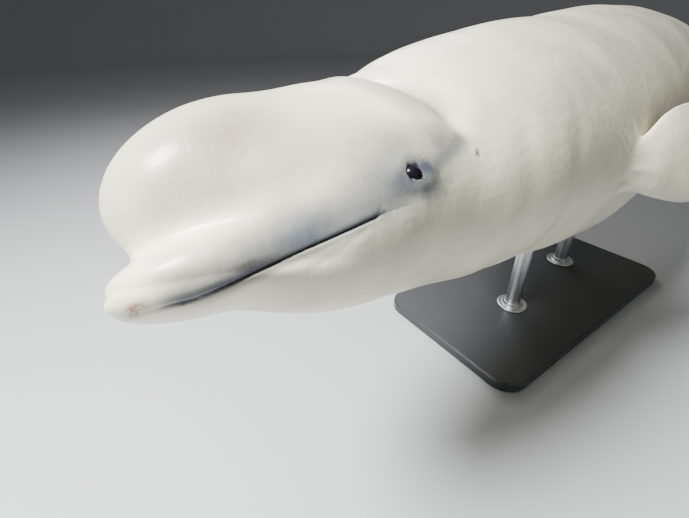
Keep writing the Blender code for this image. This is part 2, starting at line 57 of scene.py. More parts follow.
# Trunk outline: (x, height) of the top and the bottom, (x, half width) across
TOP = [
    (0.2, 0.16), (0.34, 0.215), (0.5, 0.266), (0.7, 0.263), (0.95, 0.272), (1.35, 0.302), (1.8, 0.326),
    (2.3, 0.298), (2.8, 0.225), (3.2, 0.160), (3.5, 0.105), (3.72, 0.050), (3.80, 0.028), (3.86, 0.011),
]
BOTTOM = [
    (0.2, -0.053), (0.34, -0.076), (0.5, -0.150), (0.7, -0.221), (0.95, -0.292), (1.35, -0.352),
    (1.8, -0.350), (2.3, -0.288), (2.8, -0.190), (3.2, -0.105), (3.5, -0.05), (3.72, -0.012),
    (3.80, -0.003), (3.86, 0.005),
]
WIDE = [
    (0.2, 0.12), (0.34, 0.168), (0.5, 0.196), (0.7, 0.216), (0.95, 0.250), (1.35, 0.306), (1.8, 0.325),
    (2.3, 0.286), (2.8, 0.200), (3.2, 0.12), (3.5, 0.062), (3.72, 0.035), (3.80, 0.025), (3.86, 0.004),
]
TRUNK_FRONT, TRUNK_ROUNDING, TRUNK_START = 0.40, 0.27, 0.14

# Eggs of the head, with centre, radii, pitch in radians and power, and how far each join's crease is filled
MELON = dict(centre=(0.182, 0, 0.152), radii=(0.168, 0.128, 0.111), pitch=-0.16)
CROWN = dict(centre=(0.325, 0, 0.105), radii=(0.21, 0.168, 0.160))
CHEEK = dict(centre=(0.33, 0, 0.033), radii=(0.20, 0.185, 0.118))
TEMPLE = dict(centre=(0.228, 0, 0.112), radii=(0.138, 0.146, 0.078))
BEAK = dict(centre=(0.172, 0, 0.040), radii=(0.174, 0.124, 0.053), pitch=-0.05, power=2.2)
JAW = dict(centre=(0.192, 0, -0.003), radii=(0.182, 0.113, 0.0275), pitch=0.21, power=2.3)
FILL = dict(cheek=0.05, trunk=0.06, melon=0.022, temple=0.03, jaw=0.04, beak=0.03)

# Ring stations of the head: ring, axis x, axis z, tilt of the up, down and side rays in degrees
RINGS = [
    (0, 0.060, 0.006, 90, 90, 90), (1, 0.070, 0.005, 72, 62, 45), (2, 0.085, 0.004, 57, 48, 15),
    (3, 0.110, 0.003, 46, 38, 0), (4, 0.140, 0.004, 36, 28, 0), (5, 0.175, 0.005, 24, 18, 0),
    (6, 0.215, 0.007, 12, 10, 0), (7, 0.270, 0.012, 3, 3, 0), (8, 0.340, 0.020, 0, 0, 0),
]
LAST_RING, LAST_RING_X, SEVENTH_RING_X, TRUNK_AXIS_X = 8, 0.34, 0.27, 0.80
RAY_REACH, RAY_STEPS, RAY_HALVINGS = 0.6, 60, 20
FLANK_REACH, FLANK_HALVINGS = 0.5, 30

# Pose: x, heading, climb and bank in degrees
POSE = [
    (0.34, 0.0, 0.0, -39.0), (0.54, 7.0, 14.0, -31.0), (0.76, 12.5, 3.0, -22.0), (1.28, 15.5, -1.0, -21.0),
    (2.00, 3.0, -4.0, -21.0), (2.80, -3.0, -8.0, -20.0), (3.45, -6.0, -6.0, -19.0), (3.90, -7.0, -2.0, -18.0),
]
SPINE_START, SPINE_END, SPINE_POINTS = -0.2, 4.1, 861
POSE_AXIS_Z = 0.05
HEAD_HEIGHT = 0.90
BASE_AT = 1.69

# Skin mesh: spacing of the rings, first (ring, step in rings) over the muzzle, then (x, step in metres)
COLUMNS = 200
MUZZLE_STEPS = [(0.03, 0.04), (0.5, 0.08), (2.0, 0.10), (5.0, 0.09), (7.0, 0.06)]
BODY_STEPS = [
    (0.27, 0.0027), (0.305, 0.0016), (0.325, 0.0012), (0.37, 0.0012), (0.39, 0.0018), (0.47, 0.0033),
    (0.55, 0.0095), (1.15, 0.0095), (1.30, 0.026), (1.60, 0.026), (1.72, 0.014), (2.32, 0.014),
    (2.50, 0.030), (3.30, 0.030), (3.48, 0.0125), (3.845, 0.0125),
]

# Places on the head
EYE_X, EYE_Z = 0.345, 0.048
EYE_ALONG = (-1, 0, -0.44)
EYE_OPENING, LID_TURN, LID_DROP = (0.0124, 0.0088), 29.7, 0.0086
EYE_RADIUS, EYE_DEPTH = 0.0146, 0.0102
EYE_MOUND = [(0.0022, 2.1, 1.2)]
EAR_X, EAR_Z = 0.472, 0.055
EAR_PIT, EAR_MOUND, EAR_MOUND_AT = [(-0.0026, 0.0, 0.0030)], [(0.0026, 0.0, 0.0042)], (0.0060, -0.0060)
BLOW_X, BLOW_HALF_WIDTH, BLOW_SAG = 0.385, 0.034, 0.014
BLOW_SLIT_SPREAD, BLOW_RIM = 0.0038, [(0.0045, 0.0, 0.020)]
BLOW_SLIT_TURN, BLOW_RIM_TURN = 0.8, 0.9
MOUTH_CORNER_X = 0.285

# Folds of the left side: the nape's as (turn in degrees, x), its rolls as (share, place behind it, spread),
# and the neck's as (x, depth, spread)
NAPE_FOLD = [
    (15, 0.395), (30, 0.408), (40, 0.428), (47, 0.444), (54, 0.456), (62, 0.463), (70, 0.463), (80, 0.455),
]
NAPE_ROLLS = [(0.30, -0.034, 0.022), (0.55, 0.046, 0.028), (-1.0, 0.0, 0.015)]
NECK_FOLDS = [(0.56, 0.0022, 0.020), (0.68, 0.0018, 0.022)]

# Creases with depth and spread: the head's as (x, z) points, the flank's as (x, turn in degrees) points
LINE_POINTS = 48
FLANK_RADIUS = 0.265
HEAD_LINES = [
    ([(0.200, -0.017), (0.220, -0.012), (0.237, -0.007), (0.253, -0.001), (0.266, 0.004)], 0.0004, 0.0040),
    ([(0.276, 0.010), (0.282, 0.015), (0.287, 0.022)], 0.0007, 0.0022),
    ([(0.360, 0.050), (0.372, 0.048), (0.386, 0.041)], 0.0009, 0.0022),
]
FLANK_LINES = [
    ([(0.875, 97), (0.858, 104), (0.862, 113), (0.882, 121)], 0.0020, 0.0050),
    ([(0.888, 94), (0.840, 101), (0.838, 112), (0.858, 123)], 0.0016, 0.0060),
    ([(0.875, 90), (0.822, 98), (0.815, 110), (0.835, 122)], 0.0010, 0.0070),
]

# Mouth: its line as (x, z), the swelling that rounds the muzzle's front as (x, z, height), and a filled dip
MOUTH_LINE = [
    (0.0, 0.010), (0.025, 0.007), (0.045, 0.003), (0.070, -0.001), (0.100, 0.0), (0.149, 0.004),
    (0.192, 0.007), (0.234, 0.009), (0.262, 0.0108), (0.288, 0.0130),
]
LIP_FILL = [(0.0, 0.033, 0.0045), (0.05, 0.031, 0.0030), (0.11, 0.018, 0.0013), (0.17, 0.012, 0.0)]
LIP_FILL_SPREAD = 0.011
LIP_DIP_X, LIP_DIP_LENGTH, LIP_DIP_Z, LIP_DIP_WIDTH, LIP_DIP_HEIGHT = 0.122, 0.026, 0.0155, 0.008, 0.0011

# Blue-grey marks, part skin colour and part painted shade: over the mouth as (x, strength), behind the eye as
# a line of (x, z), and as ovals
# The band over the mouth is painted shade darkening the muzzle's side towards the lips, with some of the
# lips' own grey
LIP_SHADE = [
    (0.03, 0.0), (0.06, 0.35), (0.10, 0.46), (0.15, 0.60), (0.20, 0.80), (0.24, 0.60), (0.27, 0.56),
    (0.31, 0.50),
]
LIP_SHADE_FROM, LIP_SHADE_TO = 0.014, 0.085
# A narrow band of painted shade just over the mouth line, and the lower lip's own grey margin under it
LIP_BAND, LIP_BAND_FROM, LIP_BAND_TO = 0.86, 0.001, 0.020
UNDER_BAND, UNDER_BAND_FROM, UNDER_BAND_TO = 0.38, 0.002, 0.014
# The line from the eye's rear towards the nape is painted shade
GREY_LINE = [(0.366, 0.045), (0.387, 0.056), (0.407, 0.065), (0.431, 0.073), (0.450, 0.082)]
GREY_LINE_STRENGTH, GREY_LINE_SPREAD = 0.60, 0.018
# The ring over the eye is the upper lid's painted shadow
LID_SHADE, LID_SHADE_RING, LID_SHADE_SPREAD = 0.60, 1.05, 0.45
# Painted shade on the crown's rear in front of the nape fold, stronger on the left than on the right
NAPE_SHADE = [(1.0, -0.008, 0.018), (0.8, -0.042, 0.038)]
NAPE_SHADE_LEFT, NAPE_SHADE_RIGHT = 0.46, 0.34

# Ovals of colour: (strength, x, z, half length, half height)
# The eye's ovals: the dark grey skin round the eye, and painted shade spread over the cheek and behind the
# eye
EYE_GREYS = [
    (1.00, 0.363, 0.052, 0.016, 0.013), (0.78, 0.322, 0.040, 0.026, 0.018),
    (0.70, 0.352, 0.028, 0.034, 0.018), (0.72, 0.352, 0.046, 0.050, 0.030),
    (0.45, 0.300, 0.046, 0.045, 0.036), (0.46, 0.335, 0.080, 0.060, 0.045),
    (0.54, 0.415, 0.085, 0.042, 0.040), (0.34, 0.290, 0.060, 0.090, 0.080),
]
# Pink tint of the melon together with painted shade that darkens its sides
MELON_PINK_AND_SHADE = (1.0, 0.14, 0.165, 0.13, 0.075)
BEAK_CREAM = (1.0, 0.08, 0.065, 0.14, 0.032)
BEAK_WORN = (1.0, 0.016, 0.013, 0.011, 0.006)

# Crest of the back
RIDGE_X, RIDGE_LENGTH, RIDGE_NOTCHES, RIDGE_HALF_WIDTH, BACK_RADIUS = 1.72, 0.60, 8, 0.0175, 0.326

# Flipper, left side: middle of the buried root, directions, (share, lead, trail, half thickness), then its
# foot: the gap in the grid, middle and half sizes of the ellipse, its slant, and the first section's share
FLIPPER_ROOT = (0.836, -0.170, -0.085)
FLIPPER_SPINE = (0.836, -0.533, -0.130)
FLIPPER_CHORD = (0.044, -0.171, 0.984)
FLIPPER_LENGTH, FLIPPER_CURL = 0.56, 0.050
FLIPPER_SHAPE = [
    (0.00, 0.049, 0.049, 0.026), (0.20, 0.050, 0.050, 0.024), (0.35, 0.084, 0.105, 0.019),
    (0.60, 0.124, 0.110, 0.014), (0.80, 0.108, 0.106, 0.010), (0.93, 0.066, 0.074, 0.007),
    (0.985, 0.029, 0.036, 0.004), (1.00, 0.009, 0.012, 0.002),
]
FLIPPER_FOOT = dict(x=(0.818, 1.052), turn=(87.5, 136.0), centre=(0.932, 111.5), radius=FLANK_RADIUS)
FLIPPER_FOOT.update(half=(0.074, 0.056), slant=-73.0, squash=0.7, first=0.335, leave=0.9)

# Fluke, left side: (share out, leading x, trailing x, half thickness), and its foot
FLUKE_HALF_SPAN, FLUKE_Z, FLUKE_ARCH = 0.47, 0.012, 0.018
FLUKE_SHAPE = [
    (0.00, 3.500, 3.850, 0.024), (0.12, 3.520, 3.872, 0.021), (0.35, 3.585, 3.905, 0.015),
    (0.60, 3.675, 3.912, 0.010), (0.80, 3.765, 3.898, 0.007), (0.94, 3.845, 3.893, 0.004),
    (1.00, 3.888, 3.902, 0.002),
]
FLUKE_FOOT = dict(x=(3.475, 3.835), turn=(54.0, 126.0), centre=(3.660, 90.0), radius=0.05)
FLUKE_FOOT.update(half=(0.166, 0.016), slant=0.0, squash=0.0, first=0.20, leave=0.25)

# Rows of points over the skin, over the fillet and along the blade of each fin
SKIN_ROWS, FILLET_ROWS, BLADE_ROWS = 4, 10, 25
FILLET_ARRIVE = 0.9
MIDDLE_ROW = (0.3, 0.1, 0.1, 0.02)
TIP_OUT, NOSE_OUT, TAIL_OUT = 0.3, 0.0004, 0.005

# Eyeball mesh, and the flange round each rod's foot as (radius past the rod, height)
EYE_RINGS, EYE_COLUMNS, EYE_CROWDING, CORNEA_SPREAD = 61, 72, 1.35, 0.62
COLLAR_POINTS, COLLAR_COLUMNS, COLLAR_SINK = 60, 96, 0.0003
COLLAR = [
    (0.0006, 0.0004), (0.0300, 0.0004), (0.0340, 0.0016), (0.0352, 0.0045), (0.0335, 0.0076),
    (0.0290, 0.0090), (0.0130, 0.0096), (0.0085, 0.0120), (0.0075, 0.0200), (0.0060, 0.0232),
    (0.0030, 0.0240), (0.0006, 0.0236),
]

# Finishes of the stand
LACQUER_DARK, LACQUER_PALE = (0.030, 0.031, 0.034, 1), (0.046, 0.047, 0.051, 1)
STEEL_DARK, STEEL_PALE = (0.50, 0.51, 0.52, 1), (0.66, 0.67, 0.68, 1)

# Stage: floor bent up into a wall, room colour, disk lights as (name, place from the head, size), lens
FLOOR_RINGS, FLOOR_RADIUS, COVE_RADIUS, WALL_HEIGHT = [1.0, 4.0, 10.0], 16.0, 6.0, 4.0
FLOOR_COLUMNS, FLOOR_GAP = 96, 0.0006
FLOOR_CLOUD, ROOM_COLOUR = (0.5, 0.5, 0.5, 1), (0.93, 0.95, 0.97, 1)
LIT_POINT = (0.30, 0.0, 0.08)
LIGHTS = [("key", (-1.7, 0.25, 2.3), 1.1), ("fill", (0.6, -3.4, 1.0), 3.0), ("rim", (2.6, 3.0, 2.4), 2.4)]
SENSOR_WIDTH, CLIP_START, CLIP_END = 36.0, 0.02, 200.0

# Numbers and shapes


def curve(x, stations):
    """A smooth line through (place, value) rows: cubic Hermite pieces with the rows' mean slopes."""
    px, py = np.array(stations, float).T
    slope = np.gradient(py, px)
    x = np.clip(x, px[0], px[-1])
    i = np.clip(np.searchsorted(px, x, side="right") - 1, 0, len(px) - 2)
    h = px[i + 1] - px[i]
    t = (x - px[i]) / h
    near = (1 + 2 * t) * (1 - t) ** 2 * py[i] + t * (1 - t) ** 2 * h * slope[i]
    return near + t * t * (3 - 2 * t) * py[i + 1] + t * t * (t - 1) * h * slope[i + 1]


def step(x, a, b):
    """0 before a, 1 after b, and 3t^2 - 2t^3 between them."""
    t = np.clip((x - a) / (b - a), 0, 1)
    return t * t * (3 - 2 * t)


def bump(x, middle, spread):
    """A bell, e to the minus of the squared distance from the middle in spreads."""
    return np.exp(-(((x - middle) / spread) ** 2))


def bells(x, rows):
    """The sum of bells given as (height, middle, spread)."""
    return sum(height * bump(x, middle, spread) for height, middle, spread in rows)


def unit(v):
    """Vectors divided by their lengths."""
    v = np.asarray(v, float)
    return v / np.linalg.norm(v, axis=-1, keepdims=True)


def smooth_union(a, b, k):
    """The lower of two distances, with the crease between them filled by up to a quarter of k."""
    h = np.clip(0.5 + 0.5 * (b - a) / k, 0, 1)
    return b * (1 - h) + a * h - k * h * (1 - h)


def egg(p, centre, radii, pitch=0.0, power=2.0):
    """About the distance to an egg: k(k - 1) over the gradient of k, where k is the radius in egg sizes."""
    q = p - np.array(centre)
    c, s = np.cos(pitch), np.sin(pitch)
    x = q[..., 0] * c - q[..., 2] * s
    z = q[..., 0] * s + q[..., 2] * c
    e = np.abs(np.stack([x / radii[0], q[..., 1] / radii[1], z / radii[2]], -1))
    k0 = (e**power).sum(-1) ** (1 / power)
    k1 = np.sqrt(((e / np.array(radii)) ** 2).sum(-1)) + 1e-9
    return k0 * (k0 - 1) / k1


def trunk(p):
    """About the distance to the trunk: an ellipse at each x inside the outline, rounded off ahead."""
    x = p[..., 0]
    top, bottom, wide = curve(x, TOP), curve(x, BOTTOM), curve(x, WIDE)
    mid, high = (top + bottom) / 2, (top - bottom) / 2
    cap = np.sqrt(np.clip(1 - (np.clip(TRUNK_FRONT - x, 0, 1) / TRUNK_ROUNDING) ** 2, 0.01, 1))
    wide, high = wide * cap, high * cap
    k = np.sqrt((p[..., 1] / wide) ** 2 + ((p[..., 2] - mid) / high) ** 2)
    return (k - 1) * np.minimum(wide, high) + 2 * np.clip(TRUNK_START - x, 0, 1)


def flesh(p):
    """The whole body without fins: crown, cheek, trunk, melon, temples, beak and jaw, one smooth union."""
    f = smooth_union(egg(p, **CROWN), egg(p, **CHEEK), FILL["cheek"])
    f = smooth_union(f, trunk(p), FILL["trunk"])
    f = smooth_union(f, egg(p, **MELON), FILL["melon"])
    f = smooth_union(f, egg(p, **TEMPLE), FILL["temple"])
    beak = smooth_union(egg(p, **BEAK), egg(p, **JAW), FILL["jaw"])
    return smooth_union(f, beak, FILL["beak"])


def outward(p):
    """The direction in which the body's distance grows fastest, by central differences."""
    h = 1e-4
    return unit(np.stack([flesh(p + h * e) - flesh(p - h * e) for e in np.eye(3)], -1))


def ring_axis(u):
    """Start of a ring's rays and their tilts, read from RINGS and then from the trunk's middle line."""
    rows = np.array(RINGS, float)
    cols = [np.interp(u, rows[:, 0], rows[:, k]) for k in range(1, 6)]
    x = np.where(u > LAST_RING, LAST_RING_X + (u - LAST_RING), cols[0])
    mid = (curve(x, TOP) + curve(x, BOTTOM)) / 2
    last = rows[-1, 2]
    z = np.where(u > LAST_RING, last + (mid - last) * step(x, LAST_RING_X, TRUNK_AXIS_X), cols[1])
    return x, z, np.radians(cols[2]), np.radians(cols[3]), np.radians(cols[4])


def surface(u, v):
    """Where each ray leaves the body: even steps find the first outside point, and halvings refine it."""
    x, z, a, b, c = ring_axis(u)
    start = np.stack([x, 0 * x, z], -1)
    up = np.stack([-np.sin(a), 0 * a, np.cos(a)], -1)
    down = np.stack([-np.sin(b), 0 * b, -np.cos(b)], -1)
    side = np.stack([-np.sin(c), -np.sign(np.sin(v) + 1e-12) * np.cos(c), 0 * c], -1)
    cosine, sine = np.cos(v)[..., None], np.abs(np.sin(v))[..., None]
    ray = unit(np.where(cosine >= 0, cosine * up, -cosine * down) + sine * side)
    near, far = np.zeros(x.shape), np.full(x.shape, RAY_REACH)
    found = np.zeros(x.shape, bool)
    for reach in np.linspace(RAY_REACH / RAY_STEPS, RAY_REACH, RAY_STEPS):
        outside = flesh(start + reach * ray) > 0
        far = np.where(outside & ~found, reach, far)
        near = np.where(~outside & ~found, reach, near)
        found |= outside
    for _ in range(RAY_HALVINGS):
        half = (near + far) / 2
        outside = flesh(start + half[..., None] * ray) > 0
        far, near = np.where(outside, half, far), np.where(outside, near, half)
    return start + near[..., None] * ray


def on_flank(x, z, side):
    """The point of the flank at x and z, by halving along y, and its outward direction."""
    near, far = 0.0, FLANK_REACH
    for _ in range(FLANK_HALVINGS):
        half = (near + far) / 2
        inside = flesh(np.array([[x, side * half, z]]))[0] < 0
        near, far = (half, far) if inside else (near, half)
    p = np.array([x, side * near, z])
    return p, outward(p[None])[0]


def face_frame(normal, along):
    """Three axes on the skin: along it, across it and out of it."""
    along = unit(along - normal * np.dot(along, normal))
    return np.stack([along, np.cross(normal, along), normal])


def spine_table():
    """The posed spine: the tangent turns by heading and climb, its running sum is the line, bank rolls it."""
    rows = np.array(POSE, float)
    x = np.linspace(SPINE_START, SPINE_END, SPINE_POINTS)
    heading, climb, bank = (np.radians(curve(x, rows[:, [0, k]])) for k in (1, 2, 3))
    ahead = np.stack([np.cos(climb) * np.cos(heading), np.cos(climb) * np.sin(heading), np.sin(climb)], -1)
    side = np.stack([-np.sin(heading), np.cos(heading), 0 * heading], -1)
    rise = np.cross(ahead, side)
    c, s = np.cos(bank)[:, None], np.sin(bank)[:, None]
    line = np.concatenate([[[0, 0, 0]], np.cumsum((ahead[1:] + ahead[:-1]) / 2 * (x[1] - x[0]), 0)])
    line += np.array([x[0], 0, HEAD_HEIGHT])
    return x, line, c * side + s * rise, -s * side + c * rise


SPINE = spine_table()


def posed(p):
    """Straight frame to pose: the spine's point at x, plus y along its side and z along its rise."""
    p = np.asarray(p, float)
    x, line, side, rise = SPINE
    at, across, up = (
        np.stack([np.interp(p[..., 0], x, table[:, k]) for k in range(3)], -1) for table in (line, side, rise)
    )
    return at + p[..., 1:2] * across + (p[..., 2:3] - POSE_AXIS_Z) * up


def stand_offset():
    """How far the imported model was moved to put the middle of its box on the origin, read from its base."""
    low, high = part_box("stand_base")
    middle = (np.array(low) + np.array(high)) / 2
    at = posed([BASE_AT, 0, POSE_AXIS_Z])
    return np.array([middle[0] - at[0], middle[1] - at[1], 0.0])


OFFSET = stand_offset()


def line_distance(x, z, points):
    """Distance in the (x, z) plane to a smooth line through a few points, sampled at even places."""
    rows = np.array(points, float)
    t = np.linspace(0, len(rows) - 1, LINE_POINTS)
    path = np.stack([curve(t, np.stack([np.arange(len(rows)), rows[:, k]], -1)) for k in (0, 1)], -1)
    best = np.full(x.shape, 1.0)
    for (ax, az), (bx, bz) in zip(path, path[1:]):
        wide = (bx - ax) ** 2 + (bz - az) ** 2
        s = np.clip(((x - ax) * (bx - ax) + (z - az) * (bz - az)) / wide, 0, 1)
        best = np.minimum(best, np.hypot(x - ax - s * (bx - ax), z - az - s * (bz - az)))
    return best


def ripple(p, size, seed):
    """A smooth uneven field from -1 to 1: five sine waves in seeded directions, averaged."""
    rng = np.random.default_rng(seed)
    waves = rng.normal(size=(5, 3))
    waves = unit(waves) * (2 * np.pi / size) * rng.uniform(0.6, 1.5, (5, 1))
    phase = rng.uniform(0, 2 * np.pi, 5)
    return sum(np.sin(p @ w + f) for w, f in zip(waves, phase)) / 5


# The skin's relief


def folded(v):
    """Turn from the top of the back, the same on both sides: 0 at the top, pi at the belly."""
    return np.abs((v + np.pi) % (2 * np.pi) - np.pi)


def left_of(p):
    """Points brought to the left side, so that one formula serves both."""
    return np.stack([p[..., 0], -np.abs(p[..., 1]), p[..., 2]], -1)


def beside(p, x, z, along):
    """Coordinates along, across and out of the flank at x and z."""
    centre, normal = on_flank(x, z, -1)
    return (left_of(p) - centre) @ face_frame(normal, np.array(along, float)).T


def flank_line(p, turn, points):
    """Distance to a smooth line of (x, turn in degrees) points, with turn as arc at the flank's radius."""
    rows = np.array(points, float) * (1, np.radians(FLANK_RADIUS))
    return line_distance(p[..., 0], turn * FLANK_RADIUS, rows)


def eye_ring(p):
    """Radius about the eye in openings, 1 at the lids' edge, and the height over the eye in metres.

    The opening is an ellipse joined by fourth powers to a straight lower lid, LID_DROP below its middle.
    """
    q = beside(p, EYE_X, EYE_Z, EYE_ALONG)
    turn = np.radians(LID_TURN)
    below = np.sin(turn) * q[..., 0] + np.cos(turn) * q[..., 1]
    oval = np.hypot(q[..., 0] / EYE_OPENING[0], q[..., 1] / EYE_OPENING[1])
    return (oval**4 + (np.maximum(below, 0) / LID_DROP) ** 4) ** 0.25, -below


def mouth_relief(p, sizes):
    """Lips swell off the mouth line with a groove between them, and a filling rounds the muzzle's front."""
    x = p[..., 0]
    off = p[..., 2] - curve(x, MOUTH_LINE)
    ahead = 1 - step(x, MOUTH_CORNER_X - 0.012, MOUTH_CORNER_X + 0.006)
    soft = 1 - step(x, MOUTH_CORNER_X - 0.06, MOUTH_CORNER_X + 0.03)
    from_tip = 0.15 + 0.85 * step(x, 0.015, 0.060)
    upper, lower = step(x, 0.04, 0.14), 1 - step(x, 0.15, 0.24)
    lips = sizes.lip_swell * (0.35 * upper * bump(off, 0.018, 0.018) + 0.2 * lower * bump(off, -0.015, 0.011))
    tuck = 0.0004 * step(-off, 0.0, 0.003) * (1 - step(-off, 0.005, 0.020))
    groove = sizes.mouth_depth * bump(off, 0, 0.0018)
    rows = np.array(LIP_FILL)
    fill = curve(x, rows[:, [0, 2]]) * bump(p[..., 2], curve(x, rows[:, :2]), LIP_FILL_SPREAD)
    dip = bump(x, LIP_DIP_X, LIP_DIP_LENGTH) * bump(p[..., 2], LIP_DIP_Z, LIP_DIP_WIDTH)
    fill = fill + LIP_DIP_HEIGHT * dip
    return from_tip * (soft * lips - ahead * (groove + tuck)) + fill


def eye_relief(p, sizes):
    """A pit, the lower lid's edge and a mound, each set by the radius, and arcs of wrinkles over the eye."""
    r, above = eye_ring(p)
    pit = -sizes.socket_depth * (1 - step(r, 0.82, 1.06))
    lower = 1 - step(above, -0.006, 0.000)
    lids = sizes.lid_height * lower * bump(r, 1.30, 0.22)
    upper = step(above, 0.004, 0.010) * (1 - step(r, 3.0, 3.8)) * step(r, 1.5, 1.8)
    arcs = sizes.wrinkle * upper * np.cos(2 * np.pi * (r + 0.10 * ripple(p, 0.03, 7)) / 0.42)
    return pit + lids + bells(r, EYE_MOUND) + arcs


def pit_relief(p, turn, sizes):
    """The ear's pit with a mound beside it, and the blowhole's crescent slit with a swollen rim."""
    q = beside(p, EAR_X, EAR_Z, (-1, 0, 0))
    beside_it = np.hypot(q[..., 0] - EAR_MOUND_AT[0], q[..., 1] - EAR_MOUND_AT[1])
    ear = bells(beside_it, EAR_MOUND) + bells(np.hypot(q[..., 0], q[..., 1]), EAR_PIT)
    share = np.clip(p[..., 1] / BLOW_HALF_WIDTH, -1.6, 1.6)
    behind = p[..., 0] - (BLOW_X - BLOW_SAG * share**2)
    slit = -sizes.blowhole_depth * bump(behind, 0, BLOW_SLIT_SPREAD) * (1 - step(np.abs(share), 0.80, 1.08))
    rim = bells(behind, BLOW_RIM) * (1 - step(np.abs(share), 0.7, 1.5))
    return ear + (turn < BLOW_SLIT_TURN) * slit + (turn < BLOW_RIM_TURN) * rim


def fold_relief(p, turn, sizes):
    """Folds: the nape's roll, rings under the neck, creases of the head, wrinkles at the flipper's root."""
    x, z = p[..., 0], p[..., 2]
    behind = x - curve(np.degrees(turn), NAPE_FOLD)
    reach = step(turn, 0.20, 0.50) * (1 - step(turn, 1.00, 1.35))
    height = sizes.fold_depth * reach * bells(behind, NAPE_ROLLS)
    for at, deep, spread in NECK_FOLDS:
        bow = at + 0.20 * (z - 0.05) + 0.008 * ripple(p, 0.22, 11)
        height = height - deep * bump(x, bow, spread) * (1 - step(z, 0.02, 0.15))
    for line, deep, spread in HEAD_LINES:
        height = height - deep * bump(line_distance(x, z, line), 0, spread)
    for line, deep, spread in FLANK_LINES:
        height = height - deep * bump(flank_line(p, turn, line), 0, spread)
    return height


def ridge_relief(p, turn, sizes):
    """A low notched crest: its height is the root of a sine along the back, narrow across the middle line."""
    share = np.clip((p[..., 0] - RIDGE_X) / RIDGE_LENGTH, 0, 1)
    notches = 0.88 + 0.12 * np.cos(2 * RIDGE_NOTCHES * np.pi * share)
    tall = sizes.ridge_height * np.sqrt(np.sin(np.pi * share)) * notches
    narrow = 1 / (1 + (turn * BACK_RADIUS / RIDGE_HALF_WIDTH) ** 2) ** 1.5
    return tall * step(share, 0, 0.06) * step(1 - share, 0, 0.06) * narrow


def body_relief(p, sizes):
    """Slow unevenness of the fat: long sine waves of the body, and shorter and lower ones on the head."""
    behind = step(p[..., 0], 0.45, 0.9)
    slow = sizes.fat_waves * (0.35 + 0.65 * behind) * ripple(p, 0.34, 3)
    return slow + 0.0008 * ripple(p, 0.07, 5) * (1 - behind)


def skin_points(u, v, sizes):
    """The body's surface raised along its outward direction by the sum of the reliefs."""
    p = surface(u, v)
    turn = folded(v)
    height = mouth_relief(p, sizes) + eye_relief(p, sizes) + pit_relief(p, turn, sizes)
    height = height + fold_relief(p, turn, sizes) + ridge_relief(p, turn, sizes) + body_relief(p, sizes)
    return p + height[..., None] * outward(p)


# The skin's mesh


def ring_of(x):
    """Ring numbers of x stations: a straight line up to the last head ring, then one ring to a metre."""
    head = LAST_RING - 1 + (x - SEVENTH_RING_X) / (LAST_RING_X - SEVENTH_RING_X)
    return np.where(x < LAST_RING_X, head, LAST_RING + x - LAST_RING_X)


def spaced(stations):
    """Places whose distance from the next follows the table: the sum of 1 over the step is cut evenly."""
    at, gap = np.array(stations, float).T
    x = np.linspace(at[0], at[-1], 4000)
    rate = 1 / np.interp(x, at, gap)
    total = np.concatenate([[0], np.cumsum((rate[1:] + rate[:-1]) / 2 * (x[1] - x[0]))])
    return np.interp(np.linspace(0, total[-1], int(round(total[-1])) + 1), total, x)


def skin_grid():
    """Rings and turns of the grid: columns crowd to mouth and eye in front, to back and belly behind."""
    rings = np.concatenate([spaced(MUZZLE_STEPS), ring_of(spaced(BODY_STEPS))[1:]])
    even = np.linspace(0, 2 * np.pi, COLUMNS, endpoint=False)[None, :]
    u = np.repeat(rings[:, None], COLUMNS, 1)
    back = step(u, ring_of(np.array(0.5)), ring_of(np.array(1.2)))
    v = even + (0.22 - 0.47 * back) * np.sin(2 * even) - 0.10 * (1 - back) * np.sin(4 * even)
    return u, v


def loop_about(rows, columns):
    """Grid indices round a block of faces, so that a face outside it meets each edge the other way."""
    (i, j), (m, n) = (rows[0], columns[0]), (rows[1], columns[1])
    down, across = np.arange(i, m), np.arange(j, n)
    first = np.stack([np.full(n - j, i), across], -1)
    second = np.stack([down, np.full(m - i, n)], -1)
    third = np.stack([np.full(n - j, m), across[::-1] + 1], -1)
    fourth = np.stack([down[::-1] + 1, np.full(m - i, j)], -1)
    return np.concatenate([first, second, third, fourth])


def section_at(row_of, angle, share, table):
    """Points of a blade: its middle, plus a cosine along the chord and a fuller sine across the thickness."""
    rows = [share] + [curve(share, np.array(table)[:, [0, k]]) for k in (1, 2, 3)]
    middle, chord, lift, half, thick = row_of(*rows)
    along = np.cos(angle)
    plump = np.sin(angle) * (1 - 0.45 * along) * np.abs(np.sin(angle)) ** 0.15
    return middle + (along * half)[..., None] * chord + (plump * thick)[..., None] * lift


def flipper_row(share, lead, trail, thick):
    """Middle, chord, lift and half sizes of the flipper at a share of its length; it curls with the cube."""
    spine, chord = unit(FLIPPER_SPINE), np.array(FLIPPER_CHORD, float)
    chord = unit(chord - spine * np.dot(chord, spine))
    lift = np.cross(spine, chord)
    at = np.array(FLIPPER_ROOT) + FLIPPER_LENGTH * share[..., None] * spine
    at = at - FLIPPER_CURL * (share**3)[..., None] * lift
    return at + ((trail - lead) / 2)[..., None] * chord, chord, lift, (lead + trail) / 2, thick


def fluke_row(share, lead, trail, thick):
    """Middle, chord, lift and half sizes of the fluke at a share of its span; it arches by a sine."""
    arch = FLUKE_ARCH * np.sin(np.pi * share)
    middle = np.stack([(lead + trail) / 2, -FLUKE_HALF_SPAN * share, FLUKE_Z + arch], -1)
    return middle, np.array([1.0, 0, 0]), np.array([0, 0, 1.0]), (trail - lead) / 2, thick


